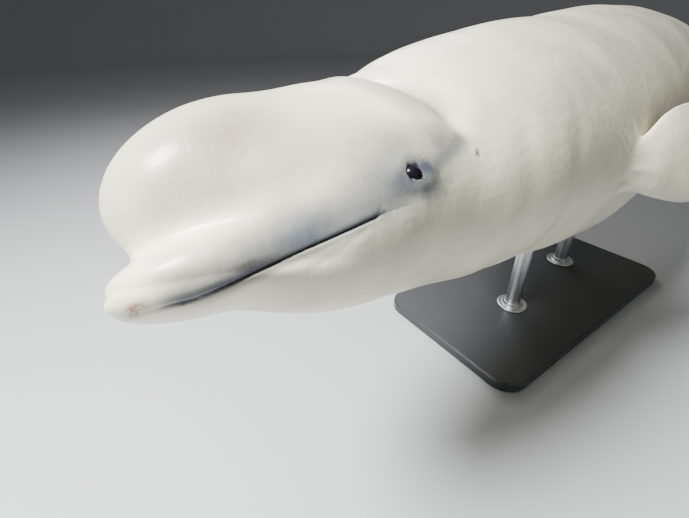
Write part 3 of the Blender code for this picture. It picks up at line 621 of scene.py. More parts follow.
def fin_rows(u, v, loop, foot, row_of, table, sizes):
    """Rows of points from a gap in the skin to a fin's tip, all on the left side.

    The first rows cross the skin from the gap to a slanted ellipse, at straight mixes of ring and turn. The
    next are cubic Hermite pieces that leave along the skin and arrive along the fin. The rest are sections of
    the blade.
    """
    radius, (cx, ct) = foot["radius"], foot["centre"]
    gap_u, gap_v = u[loop[:, 0], loop[:, 1]], v[loop[:, 0], loop[:, 1]]
    offset = np.stack([gap_u - ring_of(np.array(cx)), (gap_v - np.radians(ct)) * radius], -1)
    slant = np.radians(foot["slant"])
    axis = np.array([np.cos(slant), np.sin(slant)])
    cross = np.array([-axis[1], axis[0]])
    along, across = offset @ axis, offset @ cross
    squash = foot["squash"] or (np.abs(across).max() / np.abs(along).max()) ** 0.5
    angle = np.arctan2(across / squash, along)
    half_along, half_across = foot["half"]
    oval = np.cos(angle)[:, None] * half_along * axis + np.sin(angle)[:, None] * half_across * cross
    mix = np.linspace(0, 1, SKIN_ROWS + 1)[1:, None]
    foot_u = gap_u * (1 - mix) + (ring_of(np.array(cx)) + oval[:, 0]) * mix
    foot_v = gap_v * (1 - mix) + (np.radians(ct) + oval[:, 1] / radius) * mix
    on_body = skin_points(foot_u, foot_v, sizes)
    lift = row_of(*[np.array(k) for k in MIDDLE_ROW])[2]
    turned = np.sign(np.sum((on_body[-1] - on_body[-1].mean(0)) @ lift * np.sin(angle)))
    angle = angle * turned
    reach = np.sin(np.linspace(0, np.pi / 2, BLADE_ROWS))[:, None]
    out = foot["first"] + (1 - foot["first"]) * reach
    blade = section_at(row_of, angle[None], out, table)
    leave, arrive = unit(on_body[-1] - on_body[-2]), unit(blade[1] - blade[0])
    span = np.linalg.norm(blade[0] - on_body[-1], axis=-1, keepdims=True)
    t = np.linspace(0, 1, FILLET_ROWS + 2)[1:-1, None, None]
    fillet = (2 * t + 1) * (1 - t) ** 2 * on_body[-1] + t * (1 - t) ** 2 * leave * span * foot["leave"]
    fillet = fillet + t * t * (3 - 2 * t) * blade[0] + t * t * (t - 1) * arrive * span * FILLET_ARRIVE
    share = np.concatenate([np.zeros((len(on_body), 1)), t[:, :, 0] * foot["first"], out])
    return np.concatenate([on_body, fillet, blade]), share, angle


def block_of(u, v, foot):
    """Rows and columns of the grid just inside a fin's foot, read at its middle."""
    rows = np.searchsorted(u[:, 0], ring_of(np.array(foot["x"])))
    middle = v[(rows[0] + rows[1]) // 2]
    columns = np.searchsorted(middle, np.radians(foot["turn"]))
    return [(int(rows[0]), int(columns[0])), (int(rows[1]), int(columns[1]))]


def skin_arrays(sizes):
    """Points, faces, straight points and fin places of the whole skin.

    Quads join the grid's rings, two fans close its ends, and blocks of quads are left out where the fins'
    rows of points go on from the gap's edge. The right side is the left one with y turned round.
    """
    u, v = skin_grid()
    rings = len(u)
    points = skin_points(u, v, sizes)
    index = np.arange(rings * COLUMNS).reshape(rings, COLUMNS)
    after = np.roll(index, -1, 1)
    quads = np.stack([index[:-1], after[:-1], after[1:], index[1:]], -1)
    keep = np.ones(quads.shape[:2], bool)
    parts, places, sheets, fans = [points.reshape(-1, 3)], [np.zeros((rings * COLUMNS, 3))], [], []
    count = rings * COLUMNS
    fins = ((1.0, FLIPPER_FOOT, flipper_row, FLIPPER_SHAPE), (2.0, FLUKE_FOOT, fluke_row, FLUKE_SHAPE))
    for kind, foot, row_of, table in fins:
        (i, j), (m, n) = block_of(u, v, foot)
        loop = loop_about((i, m), (j, n))
        rows, share, angle = fin_rows(u, v, loop, foot, row_of, table, sizes)
        for side in (1, -1):
            place = loop if side == 1 else np.stack([loop[:, 0], (-loop[:, 1]) % COLUMNS], -1)
            gap = (slice(i, m), slice(j, n)) if side == 1 else (slice(i, m), slice(COLUMNS - n, COLUMNS - j))
            keep[gap] = False
            size = rows.shape[0] * rows.shape[1]
            added = count + np.arange(size).reshape(rows.shape[:2])
            grid = np.concatenate([index[place[:, 0], place[:, 1]][None], added])
            turned = np.roll(grid, -1, 1)
            strip = np.stack([grid[:-1], turned[:-1], turned[1:], grid[1:]], -1)
            sheets.append((strip if side == 1 else strip[..., ::-1]).reshape(-1, 4))
            tip = rows[-1].mean(0) + TIP_OUT * (rows[-1].mean(0) - rows[-2].mean(0))
            fan = np.stack([grid[-1], turned[-1], np.full(grid.shape[1], count + size)], -1)
            fans.append(fan if side == 1 else fan[:, ::-1])
            parts.append(np.concatenate([rows.reshape(-1, 3), tip[None]]) * (1, side, 1))
            fin = np.stack(np.broadcast_arrays(share, np.cos(angle)[None], kind * (share > 0)), -1)
            places.append(np.concatenate([fin.reshape(-1, 3), [[1.0, 0.0, kind]]]))
            count += size + 1
    nose, tail = points[0].mean(0) - (NOSE_OUT, 0, 0), points[-1].mean(0) + (TAIL_OUT, 0, 0)
    parts.append(np.stack([nose, tail]))
    places.append(np.zeros((2, 3)))
    fans.append(np.stack([after[0], index[0], np.full(COLUMNS, count)], -1))
    fans.append(np.stack([index[-1], after[-1], np.full(COLUMNS, count + 1)], -1))
    straight = np.concatenate(parts)
    return straight, np.concatenate([quads[keep]] + sheets), np.concatenate(fans), np.concatenate(places)


def oval_of(x, z, strength, at_x, at_z, wide, tall):
    """A strength times e to the minus of the squared distance from the oval's middle in its half sizes."""
    return strength * np.exp(-(((x - at_x) / wide) ** 2 + ((z - at_z) / tall) ** 2))


def skin_marks(p, fin):
    """Colour masks from 0 to 1 at each point: painted shade in creases and pits, blue-grey that is partly
    painted shade, the melon's pink with painted shade, then cream and worn brown.
    """
    x, z = p[:, 0], p[:, 2]
    grid_z = ring_axis(ring_of(x))[1]
    turn = np.abs(np.arctan2(np.abs(p[:, 1]), z - grid_z))
    on_body = 1 - np.clip(fin[:, 2], 0, 1)
    ahead = 1 - step(x, MOUTH_CORNER_X - 0.006, MOUTH_CORNER_X + 0.006)
    r, above = eye_ring(p)
    flank = (np.abs(p[:, 1]) > 0.06).astype(float)
    from_tip = step(x, 0.030, 0.060)
    # Painted shade in the mouth line and the eye's socket; below, in the head's creases, the ear's pit and
    # the blowhole's slit
    crease = ahead * from_tip * bump(z - curve(x, MOUTH_LINE), 0, 0.0019) + flank * (1 - step(r, 1.02, 1.20))
    for row, _, spread in HEAD_LINES[1:]:
        crease = crease + 0.25 * flank * bump(line_distance(x, z, row), 0, spread)
    q = beside(p, EAR_X, EAR_Z, (-1, 0, 0))
    crease = crease + bump(np.hypot(q[:, 0], q[:, 1]), 0, 0.0028) * bump(q[:, 2], 0, 0.02)
    behind = x - (BLOW_X - BLOW_SAG * np.clip(p[:, 1] / BLOW_HALF_WIDTH, -1.6, 1.6) ** 2)
    over = (z > 0.12) * (1 - step(np.abs(p[:, 1]), 0.8 * BLOW_HALF_WIDTH, 1.1 * BLOW_HALF_WIDTH))
    crease = crease + over * bump(behind, 0, 0.0040)
    off = z - curve(x, MOUTH_LINE)
    to_corner = 1 - step(x, 0.285, 0.305)
    # Blue-grey along the mouth and round the eye: partly the skin's own grey, partly painted shade
    grey = LIP_BAND * (1 - step(off, LIP_BAND_FROM, LIP_BAND_TO)) * step(x, 0.030, 0.065) * to_corner
    wide_shade = curve(x, LIP_SHADE) * (1 - step(off, LIP_SHADE_FROM, LIP_SHADE_TO))
    grey = np.maximum(grey, wide_shade * (1 - step(x, 0.31, 0.34)))
    under = UNDER_BAND * (1 - step(-off, UNDER_BAND_FROM, UNDER_BAND_TO)) * step(x, 0.05, 0.10) * to_corner
    grey = np.where(off > 0, grey, np.minimum(grey, under)) * flank
    # Eye ovals: the dark grey skin round the eye, and painted shade over the cheek and behind the eye
    for oval in EYE_GREYS:
        grey = np.sqrt(grey**2 + (1 - grey) * (flank * oval_of(x, z, *oval)) ** 2)
    # Painted shade along a line behind the eye, and the upper lid's painted shadow
    line = GREY_LINE_STRENGTH * bump(line_distance(x, z, GREY_LINE), 0, GREY_LINE_SPREAD)
    lid = LID_SHADE * bump(r, LID_SHADE_RING, LID_SHADE_SPREAD) * step(above, -0.004, 0.004)
    grey = np.maximum(grey, flank * np.maximum(line, lid))
    # Painted shade on the crown's rear in front of the nape fold
    turned = x - curve(np.degrees(turn), NAPE_FOLD)
    shaded = bells(turned, NAPE_SHADE) * step(turn, 0.30, 0.50)
    shaded = shaded * np.where(p[:, 1] > 0, NAPE_SHADE_RIGHT, NAPE_SHADE_LEFT)
    grey = np.maximum(grey, shaded * (1 - step(turn, 0.95, 1.30)))
    # The third mask is the melon's pink tint with painted shade
    first = np.stack([np.clip(crease, 0, 1), np.clip(grey, 0, 1), oval_of(x, z, *MELON_PINK_AND_SHADE)], -1)
    cream, worn = oval_of(x, z, *BEAK_CREAM), oval_of(x, z, *BEAK_WORN)
    return first * on_body[:, None], np.stack([cream, worn, 0 * x], -1)


def new_piece(name, points, quads, triangles, attributes, finish):
    """A smooth mesh object from arrays, at its final place, with vector attributes, finish and slot."""
    mesh = bpy.data.meshes.new(name)
    mesh.from_pydata(points.tolist(), [], quads.tolist() + triangles.tolist())
    for key, values in attributes.items():
        layer = mesh.attributes.new(key, "FLOAT_VECTOR", "POINT")
        layer.data.foreach_set("vector", np.asarray(values, np.float32).ravel())
    mesh.polygons.foreach_set("use_smooth", np.ones(len(mesh.polygons), bool))
    mesh.update()
    made = bpy.data.objects.new(name, mesh)
    bpy.context.scene.collection.objects.link(made)
    mesh.materials.append(finish)
    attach(made, "root")
    return made


# Eyes, collars, floor and camera


def cove():
    """A round floor that bends up into a wall: flat, a quarter circle and a straight rise, turned round."""
    arc = np.linspace(0, np.pi / 2, 25)
    bend, wall = FLOOR_RADIUS + COVE_RADIUS * np.sin(arc), FLOOR_RADIUS + COVE_RADIUS
    radius = np.concatenate([FLOOR_RINGS, bend, [wall]])[:, None]
    level, top = [0] * len(FLOOR_RINGS), [COVE_RADIUS + WALL_HEIGHT]
    height = np.concatenate([level, COVE_RADIUS * (1 - np.cos(arc)), top])[:, None]
    b = np.linspace(0, 2 * np.pi, FLOOR_COLUMNS, endpoint=False)
    rings = np.stack([radius * np.cos(b), radius * np.sin(b), height - FLOOR_GAP + 0 * b], -1)
    points = np.concatenate([rings.reshape(-1, 3), [[0, 0, -FLOOR_GAP]]])
    index = np.arange(len(radius) * FLOOR_COLUMNS).reshape(-1, FLOOR_COLUMNS)
    after = np.roll(index, -1, 1)
    quads = np.stack([index[:-1], index[1:], after[1:], after[:-1]], -1).reshape(-1, 4)
    return points, quads, np.stack([np.full(FLOOR_COLUMNS, index.size), index[0], after[0]], -1)


def set_camera(scene, stage):
    """The camera's axes: it looks ahead by azimuth and down by elevation, then the picture rolls."""
    a, e, r = stage.azimuth, stage.elevation, stage.roll
    right = np.array([np.cos(a), np.sin(a), 0.0])
    back = np.array([np.sin(a) * np.cos(e), -np.cos(a) * np.cos(e), np.sin(e)])
    up = np.cross(back, right)
    right, up = np.cos(r) * right + np.sin(r) * up, np.cos(r) * up - np.sin(r) * right
    lens = bpy.data.cameras.new("photo_view")
    lens.sensor_width = SENSOR_WIDTH
    lens.lens = SENSOR_WIDTH * stage.lens_share
    lens.shift_x, lens.shift_y = stage.shift
    lens.clip_start, lens.clip_end = CLIP_START, CLIP_END
    camera = bpy.data.objects.new("photo_view", lens)
    place = np.array(stage.place) + OFFSET
    rows = [[*row, place[k]] for k, row in enumerate(zip(right, up, back))]
    camera.matrix_world = Matrix(rows + [[0, 0, 0, 1]])
    scene.collection.objects.link(camera)
    scene.camera = camera


def eyeball(side, eye):
    """A sphere about its front pole whose cornea swells by a bell of the polar angle, in the eye's axes."""
    p, normal = on_flank(EYE_X, EYE_Z, side)
    axes = face_frame(normal, np.array(EYE_ALONG, float))
    a = np.pi * np.linspace(0, 1, EYE_RINGS)[1:-1, None] ** EYE_CROWDING
    b = np.linspace(0, 2 * np.pi, EYE_COLUMNS, endpoint=False)[None, :]
    radius = eye.radius + eye.cornea * bump(a, 0, CORNEA_SPREAD)
    ball = np.stack([np.sin(a) * np.cos(b), np.sin(a) * np.sin(b), np.cos(a) + 0 * b], -1)
    local = ball * radius[..., None]
    ends = np.array([[0, 0, eye.radius + eye.cornea], [0, 0, -eye.radius]])
    points = np.concatenate([local.reshape(-1, 3), ends]) @ axes + p - eye.depth * normal
    gaze = np.stack([a / np.pi + 0 * b, np.cos(b) + 0 * a, np.sin(b) + 0 * a], -1).reshape(-1, 3)
    gaze = np.concatenate([gaze, [[0, 0, 0], [1, 0, 0]]])
    quads, fans = tube(*local.shape[:2])
    return points, quads, fans, gaze


def tube(rings, columns):
    """Quads between the rings of a closed grid, and the fans to the two end points that follow it."""
    index = np.arange(rings * columns).reshape(rings, columns)
    after = np.roll(index, -1, 1)
    quads = np.stack([index[:-1], index[1:], after[1:], after[:-1]], -1).reshape(-1, 4)
    first = np.stack([np.full(columns, rings * columns), index[0], after[0]], -1)
    last = np.stack([np.full(columns, rings * columns + 1), after[-1], index[-1]], -1)
    return quads, np.concatenate([first, last])


def collar(node):
    """A flange round a rod's foot: a stepped, rounded profile carried round the rod's axis."""
    low, high = (np.array(k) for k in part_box(node))
    middle, rod = (low + high) / 2, (high[0] - low[0]) / 2
    t = np.linspace(0, len(COLLAR), COLLAR_POINTS + 1)[:-1]
    wrapped = np.array(COLLAR + COLLAR[:1])
    radius = rod + np.interp(t, np.arange(len(wrapped)), wrapped[:, 0])
    height = low[2] - COLLAR_SINK + np.interp(t, np.arange(len(wrapped)), wrapped[:, 1])
    b = np.linspace(0, 2 * np.pi, COLLAR_COLUMNS, endpoint=False)[:, None]
    points = np.stack([middle[0] + radius * np.cos(b), middle[1] + radius * np.sin(b), height + 0 * b], -1)
    index = np.arange(COLLAR_COLUMNS * COLLAR_POINTS).reshape(COLLAR_COLUMNS, COLLAR_POINTS)
    up, on = np.roll(index, -1, 1), np.roll(index, -1, 0)
    quads = np.stack([index, on, np.roll(on, -1, 1), up], -1).reshape(-1, 4)
    return points.reshape(-1, 3), quads, np.zeros((0, 3), int)


# Shader maths


class Value:
    """A number or colour socket that takes part in Python expressions by adding Math nodes to its tree."""

    def __init__(self, finish, socket):
        self.finish, self.socket = finish, socket

    def maths(self, operation, *others, clamp=False):
        """One Math node on this value and the others."""
        sockets = {str(k): value for k, value in enumerate((self,) + others)}
        return self.finish.node("ShaderNodeMath", dict(operation=operation, use_clamp=clamp), **sockets)

    def __add__(self, other):
        return self.maths("ADD", other)

    __radd__ = __add__

    def __sub__(self, other):
        return self.maths("SUBTRACT", other)

    def __rsub__(self, other):
        return self.finish.number(other).maths("SUBTRACT", self)

    def __mul__(self, other):
        return self.maths("MULTIPLY", other)

    __rmul__ = __mul__

    def clamped(self):
        """The value held between 0 and 1."""
        return self.maths("MULTIPLY", 1.0, clamp=True)

    def between(self, low, high):
        """0 below low and 1 above high, smooth between them."""
        sockets = {"Value": self, "From Min": low, "From Max": high}
        return self.finish.node("ShaderNodeMapRange", dict(interpolation_type="SMOOTHSTEP"), **sockets)


class Finish:
    """One material: it makes nodes from a type, settings and sockets, and drives one Principled shader."""

    def __init__(self, name, **constants):
        self.material = bpy.data.materials.new(name)
        self.material.use_nodes = True
        self.tree = self.material.node_tree
        self.shader = self.tree.nodes["Principled BSDF"]
        for key, value in constants.items():
            self.shader.inputs[key.replace("_", " ")].default_value = value

    def node(self, kind, settings=None, output=0, **sockets):
        """A node of one type: its settings, then the values or links of its sockets by name or number."""
        made = self.tree.nodes.new(kind)
        for key, value in (settings or {}).items():
            setattr(made, key, value)
        for key, value in sockets.items():
            socket = made.inputs[int(key)] if key.isdigit() else made.inputs[key]
            if isinstance(value, Value):
                self.tree.links.new(value.socket, socket)
            else:
                socket.default_value = value
        return Value(self, made.outputs[output])

    def number(self, value):
        """A plain number as a value."""
        made = self.tree.nodes.new("ShaderNodeValue")
        made.outputs[0].default_value = value
        return Value(self, made.outputs[0])

    def mixed(self, factor, first, second):
        """The first colour, and the second where the factor is 1."""
        settings = dict(data_type="RGBA", blend_type="MIX", clamp_factor=True)
        return self.node("ShaderNodeMix", settings, 2, **{"0": factor, "6": first, "7": second})

    def field(self, name, part=None):
        """A mesh attribute, or one of its three numbers."""
        whole = self.node("ShaderNodeAttribute", dict(attribute_name=name), 1)
        if part is None:
            return whole
        return self.node("ShaderNodeSeparateXYZ", None, part, **{"0": whole})

    def where(self):
        """Object coordinates."""
        return self.node("ShaderNodeTexCoord", None, "Object")

    def scaled(self, vector, sizes):
        """A vector multiplied part by part."""
        return self.node("ShaderNodeVectorMath", dict(operation="MULTIPLY"), **{"0": vector, "1": sizes})

    def noise(self, vector, scale, detail=3.0, roughness=0.5, distortion=0.0):
        """Noise from 0 to 1 at a vector."""
        sockets = dict(Vector=vector, Scale=scale, Detail=detail, Roughness=roughness, Distortion=distortion)
        return self.node("ShaderNodeTexNoise", None, "Fac", **sockets)

    def bumped(self, height, distance, strength):
        """The normal that a height gives."""
        sockets = dict(Height=height, Distance=distance, Strength=strength)
        return self.node("ShaderNodeBump", None, "Normal", **sockets)

    def drive(self, **links):
        """Links values to the shader's sockets and returns the material."""
        for key, value in links.items():
            self.tree.links.new(value.socket, self.shader.inputs[key.replace("_", " ")])
        return self.material


# Finishes


def skin_finish(colours, sizes):
    """Wet white skin: clouded white, pink melon with painted shade, blue-grey round eye and mouth that is
    partly painted shade, painted shade in creases, fine grain.
    """
    made = Finish("whale_skin", IOR=1.40, Coat_Roughness=0.14, Coat_IOR=1.38)
    where = made.where()
    straight = made.field("straight")
    crease, grey, blush = (made.field("marks", k) for k in range(3))
    cream, worn = made.field("tints", 0), made.field("tints", 1)
    share, chord, kind = (made.field("fin", k) for k in range(3))
    cloud = made.noise(where, 5.5, 4.0, 0.55, 0.4)
    speck = made.noise(where, 46.0, 3.0, 0.6)
    fine = made.noise(where, 330.0, 2.0, 0.6)
    back = made.field("straight", 0).between(0.50, 0.60) * made.field("straight", 2).between(0.0, 0.12)
    clouded = (cloud.between(0.30, 0.72) * 0.50 + 0.45 * back).clamped()
    colour = made.mixed(clouded, colours.white, colours.shade)
    # Pink tint and painted shade of the melon
    colour = made.mixed((blush * (0.55 + 0.5 * cloud)).clamped(), colour, colours.blush)
    colour = made.mixed(cream * 0.75, colour, colours.cream)
    # Blue-grey: partly the skin's own grey, partly painted shade round eye and mouth and before the nape
    clear = 1 - (grey * (0.80 + 0.35 * speck)).clamped()
    colour = made.mixed(1 - clear * clear, colour, colours.grey)
    fin_edge = (1 - (1 - chord.maths("ABSOLUTE")) * 9.0).clamped() * share.between(0.25, 0.6)
    colour = made.mixed(fin_edge * kind.between(0.0, 0.5) * 0.75, colour, colours.fin_edge)
    colour = made.mixed((worn * (0.25 + 1.1 * speck.between(0.40, 0.56))).clamped(), colour, colours.worn)
    # Painted shade in creases, pits and slits
    colour = made.mixed(crease * 0.75, colour, colours.crease)
    colour = made.mixed(speck.between(0.66, 0.74) * 0.10, colour, colours.grey)
    long_grain = made.noise(made.scaled(straight, (1.0, 5.0, 5.0)), 9.0, 4.0, 0.6)
    rings = made.noise(made.scaled(straight, (34.0, 5.0, 5.0)), 1.0, 3.0, 0.6)
    height = fine * 0.10 + speck * 0.55 + long_grain * 0.6 + rings * 0.9
    normal = made.bumped(height, sizes.grain, 0.9)
    rough = 0.36 + 0.16 * (speck - 0.5) + 0.10 * cloud - 0.12 * crease
    return made.drive(Base_Color=colour, Roughness=rough, Coat_Weight=0.18 + 0.25 * cloud, Normal=normal)


def eye_finish(colours):
    """A wet eye: black pupil, near-black iris with faint rays, a bluish ring round it, dark grey outside."""
    made = Finish("whale_eye", IOR=1.24, Roughness=0.14)
    reach, up = made.field("gaze", 0), made.field("gaze", 2)
    rays = made.noise(made.field("gaze"), 26.0, 3.0, 0.6)
    wide = reach * (0.80 + 0.45 * up.maths("ABSOLUTE"))
    colour = made.mixed(reach.between(0.255, 0.285), colours.iris, colours.limbus)
    colour = made.mixed(reach.between(0.300, 0.335), colour, colours.sclera)
    rayed = rays.between(0.45, 0.65) * (1 - reach.between(0.23, 0.26)) * 0.7
    colour = made.mixed(rayed, colour, colours.iris_ray)
    colour = made.mixed(1 - wide.between(0.100, 0.118), colour, colours.pupil)
    return made.drive(Base_Color=colour)


def base_finish():
    """Charcoal satin lacquer, faintly clouded, with a fine orange peel."""
    made = Finish("stand_lacquer", IOR=1.46)
    where = made.where()
    peel, cloud = made.noise(where, 420.0, 2.0), made.noise(where, 3.0, 3.0)
    colour = made.mixed(cloud, LACQUER_DARK, LACQUER_PALE)
    normal = made.bumped(peel, 0.0002, 0.5)
    return made.drive(Base_Color=colour, Roughness=0.34 + 0.12 * cloud, Normal=normal)


def steel_finish():
    """Steel brushed round its length: noise stretched round the rod shades colour, gloss and height."""
    made = Finish("brushed_steel", Metallic=1.0)
    where = made.where()
    brush = made.noise(made.scaled(where, (14.0, 14.0, 900.0)), 1.0, 3.0, 0.6)
    cloud = made.noise(where, 16.0, 2.0)
    colour = made.mixed(brush, STEEL_DARK, STEEL_PALE)
    normal = made.bumped(brush, 0.0002, 0.6)
    return made.drive(Base_Color=colour, Roughness=0.24 + 0.14 * brush + 0.06 * cloud, Normal=normal)


def floor_finish(colour):
    """Pale matt floor with a very faint cloudiness."""
    made = Finish("studio_floor", Specular_IOR_Level=0.2)
    cloud = made.noise(made.where(), 0.9, 3.0)
    shade = made.mixed(cloud * 0.12, tuple(colour), FLOOR_CLOUD)
    return made.drive(Base_Color=shade, Roughness=0.80 + 0.06 * cloud)


# Settings


def length(name, description, default):
    """A length in metres."""
    return bpy.props.FloatProperty(
        name=name, description=description, default=default, min=0.0, precision=4, unit="LENGTH"
    )


def tone(name, description, default):
    """A colour."""
    return bpy.props.FloatVectorProperty(
        name=name, description=description, default=default + (1.0,), size=4, min=0.0, max=1.0,
        subtype="COLOR",
    )


def turn_of(name, description, default):
    """An angle, given in degrees."""
    return bpy.props.FloatProperty(
        name=name, description=description, default=np.radians(default), subtype="ANGLE"
    )


def strength(name, description, default, **more):
    """The strength of a light."""
    return bpy.props.FloatProperty(name=name, description=description, default=default, min=0.0, **more)


class WhaleSkinSizes(bpy.types.PropertyGroup):
    lip_swell: length("Lip swell", "How far the lips stand out of the muzzle", 0.0018)
    mouth_depth: length("Mouth depth", "Depth of the groove between the lips", 0.0042)
    socket_depth: length("Socket depth", "Depth of the pit that holds the eyeball", 0.0085)
    lid_height: length("Lid height", "How far the lids' edge stands out", 0.0015)
    wrinkle: length("Lid wrinkles", "Height of the fine wrinkles above the eye", 0.00028)
    blowhole_depth: length("Blowhole depth", "Depth of the blowhole's slit", 0.0120)
    fold_depth: length("Nape fold", "Depth of the fold behind the head", 0.0110)
    ridge_height: length("Ridge height", "Height of the crest along the back", 0.0260)
    fat_waves: length("Fat waves", "Height of the slow unevenness of the body", 0.0020)
    grain: length("Grain height", "Height of the skin's fine grain", 0.0012)


class WhaleSkinColours(bpy.types.PropertyGroup):
    white: tone("White", "Main colour of the skin", (0.790, 0.750, 0.560))
    shade: tone("Shade", "Clouding of the white", (0.400, 0.385, 0.315))
    # The melon's pink tint, also painted shade that darkens the melon
    blush: tone("Blush", "Pink of the melon", (0.250, 0.208, 0.155))
    cream: tone("Cream", "Warm tint of the beak's tip", (0.860, 0.800, 0.580))
    # Grey: the skin's own grey, also used for painted shade round eye, mouth and nape
    grey: tone("Grey", "Blue-grey round the eye and along the mouth", (0.050, 0.062, 0.080))
    # Crease: painted shade in the mouth line, socket, head creases, ear pit and blowhole
    crease: tone("Crease", "Dark of the mouth line, lids and slits", (0.060, 0.058, 0.066))
    worn: tone("Worn", "Red-brown scuffs of the beak's tip", (0.300, 0.110, 0.070))
    fin_edge: tone("Fin edge", "Dark line round the fins", (0.200, 0.215, 0.240))


class WhaleEyeSettings(bpy.types.PropertyGroup):
    radius: length("Radius", "Radius of the eyeball", EYE_RADIUS)
    depth: length("Depth", "How deep the eyeball's middle sits under the skin", EYE_DEPTH)
    cornea: length("Cornea", "How far the cornea stands out of the ball", 0.0012)
    pupil: tone("Pupil", "Colour of the pupil", (0.004, 0.004, 0.005))
    iris: tone("Iris", "Colour of the iris", (0.004, 0.004, 0.006))
    iris_ray: tone("Iris rays", "Paler rays of the iris", (0.012, 0.013, 0.018))
    limbus: tone("Limbus", "Ring at the iris' edge", (0.016, 0.020, 0.028))
    sclera: tone("White of the eye", "Colour outside the iris", (0.030, 0.034, 0.042))


class WhaleStageSettings(bpy.types.PropertyGroup):
    place: bpy.props.FloatVectorProperty(
        name="Camera place", description="Place of the camera from the floor under the snout",
        default=(0.0236, -0.4683, 1.1765), subtype="TRANSLATION", unit="LENGTH", precision=4,
    )
    azimuth: turn_of("Azimuth", "Turn of the view from straight at the left side", -34.60)
    elevation: turn_of("Elevation", "How far the camera looks down", 30.36)
    roll: turn_of("Roll", "Tilt of the picture", -0.79)
    lens_share: bpy.props.FloatProperty(
        name="Lens", description="Focal length as a share of the picture's width", default=0.550, min=0.1,
        precision=4,
    )
    shift: bpy.props.FloatVectorProperty(
        name="Shift", description="Shift of the picture, in widths", default=(-0.0026, -0.0186), size=2,
        precision=4,
    )
    floor: tone("Floor", "Colour of the floor", (0.48, 0.49, 0.50))
    world_light: strength("Room light", "Strength of the even light", 0.15)
    key_power: strength("Key light", "Main light", 560.0, unit="POWER")
    fill_power: strength("Fill light", "Light from the camera's side", 14.0, unit="POWER")
    rim_power: strength("Rim light", "Light from behind", 60.0, unit="POWER")


# Operators and panel


class WHALE_OT_skin(bpy.types.Operator):
    """Builds the one skin of body and fins, which stands for all flesh nodes of the frame."""

    bl_idname = "whale.skin"
    bl_label = "Skin"

    def execute(self, context):
        sizes = context.scene.whale_skin
        straight, quads, fans, fin = skin_arrays(sizes)
        marks, tints = skin_marks(straight, fin)
        attributes = {"straight": straight, "marks": marks, "tints": tints, "fin": fin}
        finish = skin_finish(context.scene.whale_colours, sizes)
        made = new_piece("skin", posed(straight) + OFFSET, quads, fans, attributes, finish)
        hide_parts(*FLESH_NODES)
        return {"FINISHED"}


class WHALE_OT_eyes(bpy.types.Operator):
    """Builds the two wet eyeballs in their sockets."""

    bl_idname = "whale.eyes"
    bl_label = "Eyes"

    def execute(self, context):
        eye = context.scene.whale_eye
        finish = eye_finish(eye)
        for side, word in ((-1, "left"), (1, "right")):
            points, quads, fans, gaze = eyeball(side, eye)
            points = posed(points) + OFFSET
            made = new_piece("eyeball_" + word, points, quads, fans, {"gaze": gaze}, finish)
            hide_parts("eye_" + word)
        return {"FINISHED"}


class WHALE_OT_stand(bpy.types.Operator):
    """Finishes the stand's slab and rods and adds the collars at the rods' feet."""

    bl_idname = "whale.stand"
    bl_label = "Stand"

    def execute(self, context):
        lacquer, steel = base_finish(), steel_finish()
        for name, finish in (("stand_base", lacquer), ("stand_rod_front", steel), ("stand_rod_rear", steel)):
            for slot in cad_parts[name].material_slots:
                slot.material = finish
        for word in ("front", "rear"):
            points, quads, fans = collar("stand_rod_" + word)
            new_piece("collar_" + word, points, quads, fans, {}, steel)
        return {"FINISHED"}


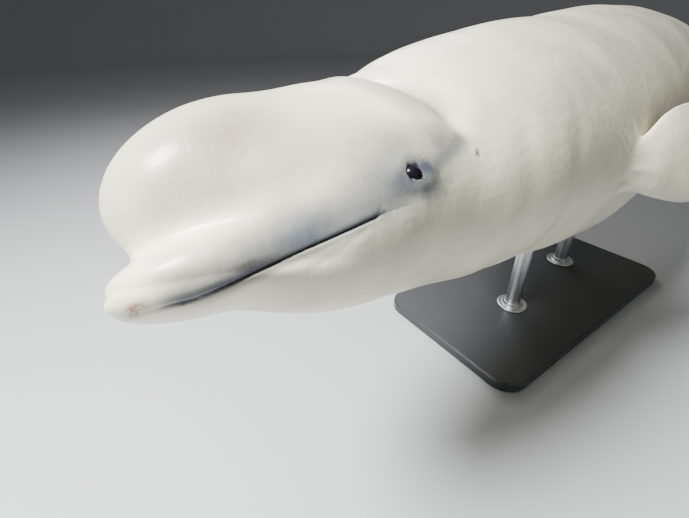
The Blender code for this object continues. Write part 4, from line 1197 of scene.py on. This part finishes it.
class WHALE_OT_stage(bpy.types.Operator):
    """Lays the pale floor, hangs the lights and sets the camera at the photograph's view."""

    bl_idname = "whale.stage"
    bl_label = "Stage"

    def execute(self, context):
        stage = context.scene.whale_stage
        points, quads, fan = cove()
        mesh = bpy.data.meshes.new("floor")
        mesh.from_pydata(points.tolist(), [], quads.tolist() + fan.tolist())
        mesh.polygons.foreach_set("use_smooth", np.ones(len(mesh.polygons), bool))
        mesh.materials.append(floor_finish(stage.floor))
        floor = bpy.data.objects.new("floor", mesh)
        context.scene.collection.objects.link(floor)
        world = bpy.data.worlds.new("studio")
        world.use_nodes = True
        background = world.node_tree.nodes["Background"]
        background.inputs["Color"].default_value = ROOM_COLOUR
        background.inputs["Strength"].default_value = stage.world_light
        context.scene.world = world
        head = posed(LIT_POINT) + OFFSET
        for name, place, size in LIGHTS:
            light = bpy.data.lights.new(name, "AREA")
            light.shape, light.size, light.energy = "DISK", size, getattr(stage, name + "_power")
            lamp = bpy.data.objects.new(name, light)
            lamp.location = Vector(head + np.array(place))
            lamp.rotation_euler = Vector(place).to_track_quat("Z", "Y").to_euler()
            context.scene.collection.objects.link(lamp)
        set_camera(context.scene, stage)
        return {"FINISHED"}


class VIEW3D_PT_whale(bpy.types.Panel):
    """Lists the steps that build the model."""

    bl_label = "Whale"
    bl_space_type = "VIEW_3D"
    bl_region_type = "UI"
    bl_category = "Whale"

    def draw(self, context):
        for operator in OPERATORS:
            self.layout.operator(operator.bl_idname)
        for group in ("whale_skin", "whale_colours", "whale_eye", "whale_stage"):
            box = self.layout.box()
            settings = getattr(context.scene, group)
            for key in settings.bl_rna.properties.keys():
                if key not in ("rna_type", "name"):
                    box.prop(settings, key)


FLESH_NODES = (
    "melon", "upper_jaw", "lower_jaw", "head", "neck", "chest", "torso", "loin", "tail_stock", "dorsal_ridge",
    "fluke_left", "fluke_right", "flipper_left", "flipper_right",
)
GROUPS = {
    "whale_skin": WhaleSkinSizes, "whale_colours": WhaleSkinColours, "whale_eye": WhaleEyeSettings,
    "whale_stage": WhaleStageSettings,
}
OPERATORS = (WHALE_OT_skin, WHALE_OT_eyes, WHALE_OT_stand, WHALE_OT_stage)


def register():
    """Registers the classes and puts the settings on the scene."""
    for made in (*GROUPS.values(), *OPERATORS, VIEW3D_PT_whale):
        bpy.utils.register_class(made)
    for name, group in GROUPS.items():
        setattr(bpy.types.Scene, name, bpy.props.PointerProperty(type=group))


def unregister():
    """Takes the settings and the classes away again."""
    for name in GROUPS:
        delattr(bpy.types.Scene, name)
    for made in (VIEW3D_PT_whale, *OPERATORS, *GROUPS.values()):
        bpy.utils.unregister_class(made)


def main():
    """Builds everything in order."""
    register()
    bpy.ops.whale.stage()
    bpy.ops.whale.skin()
    bpy.ops.whale.eyes()
    bpy.ops.whale.stand()


if __name__ == "__main__":
    main()
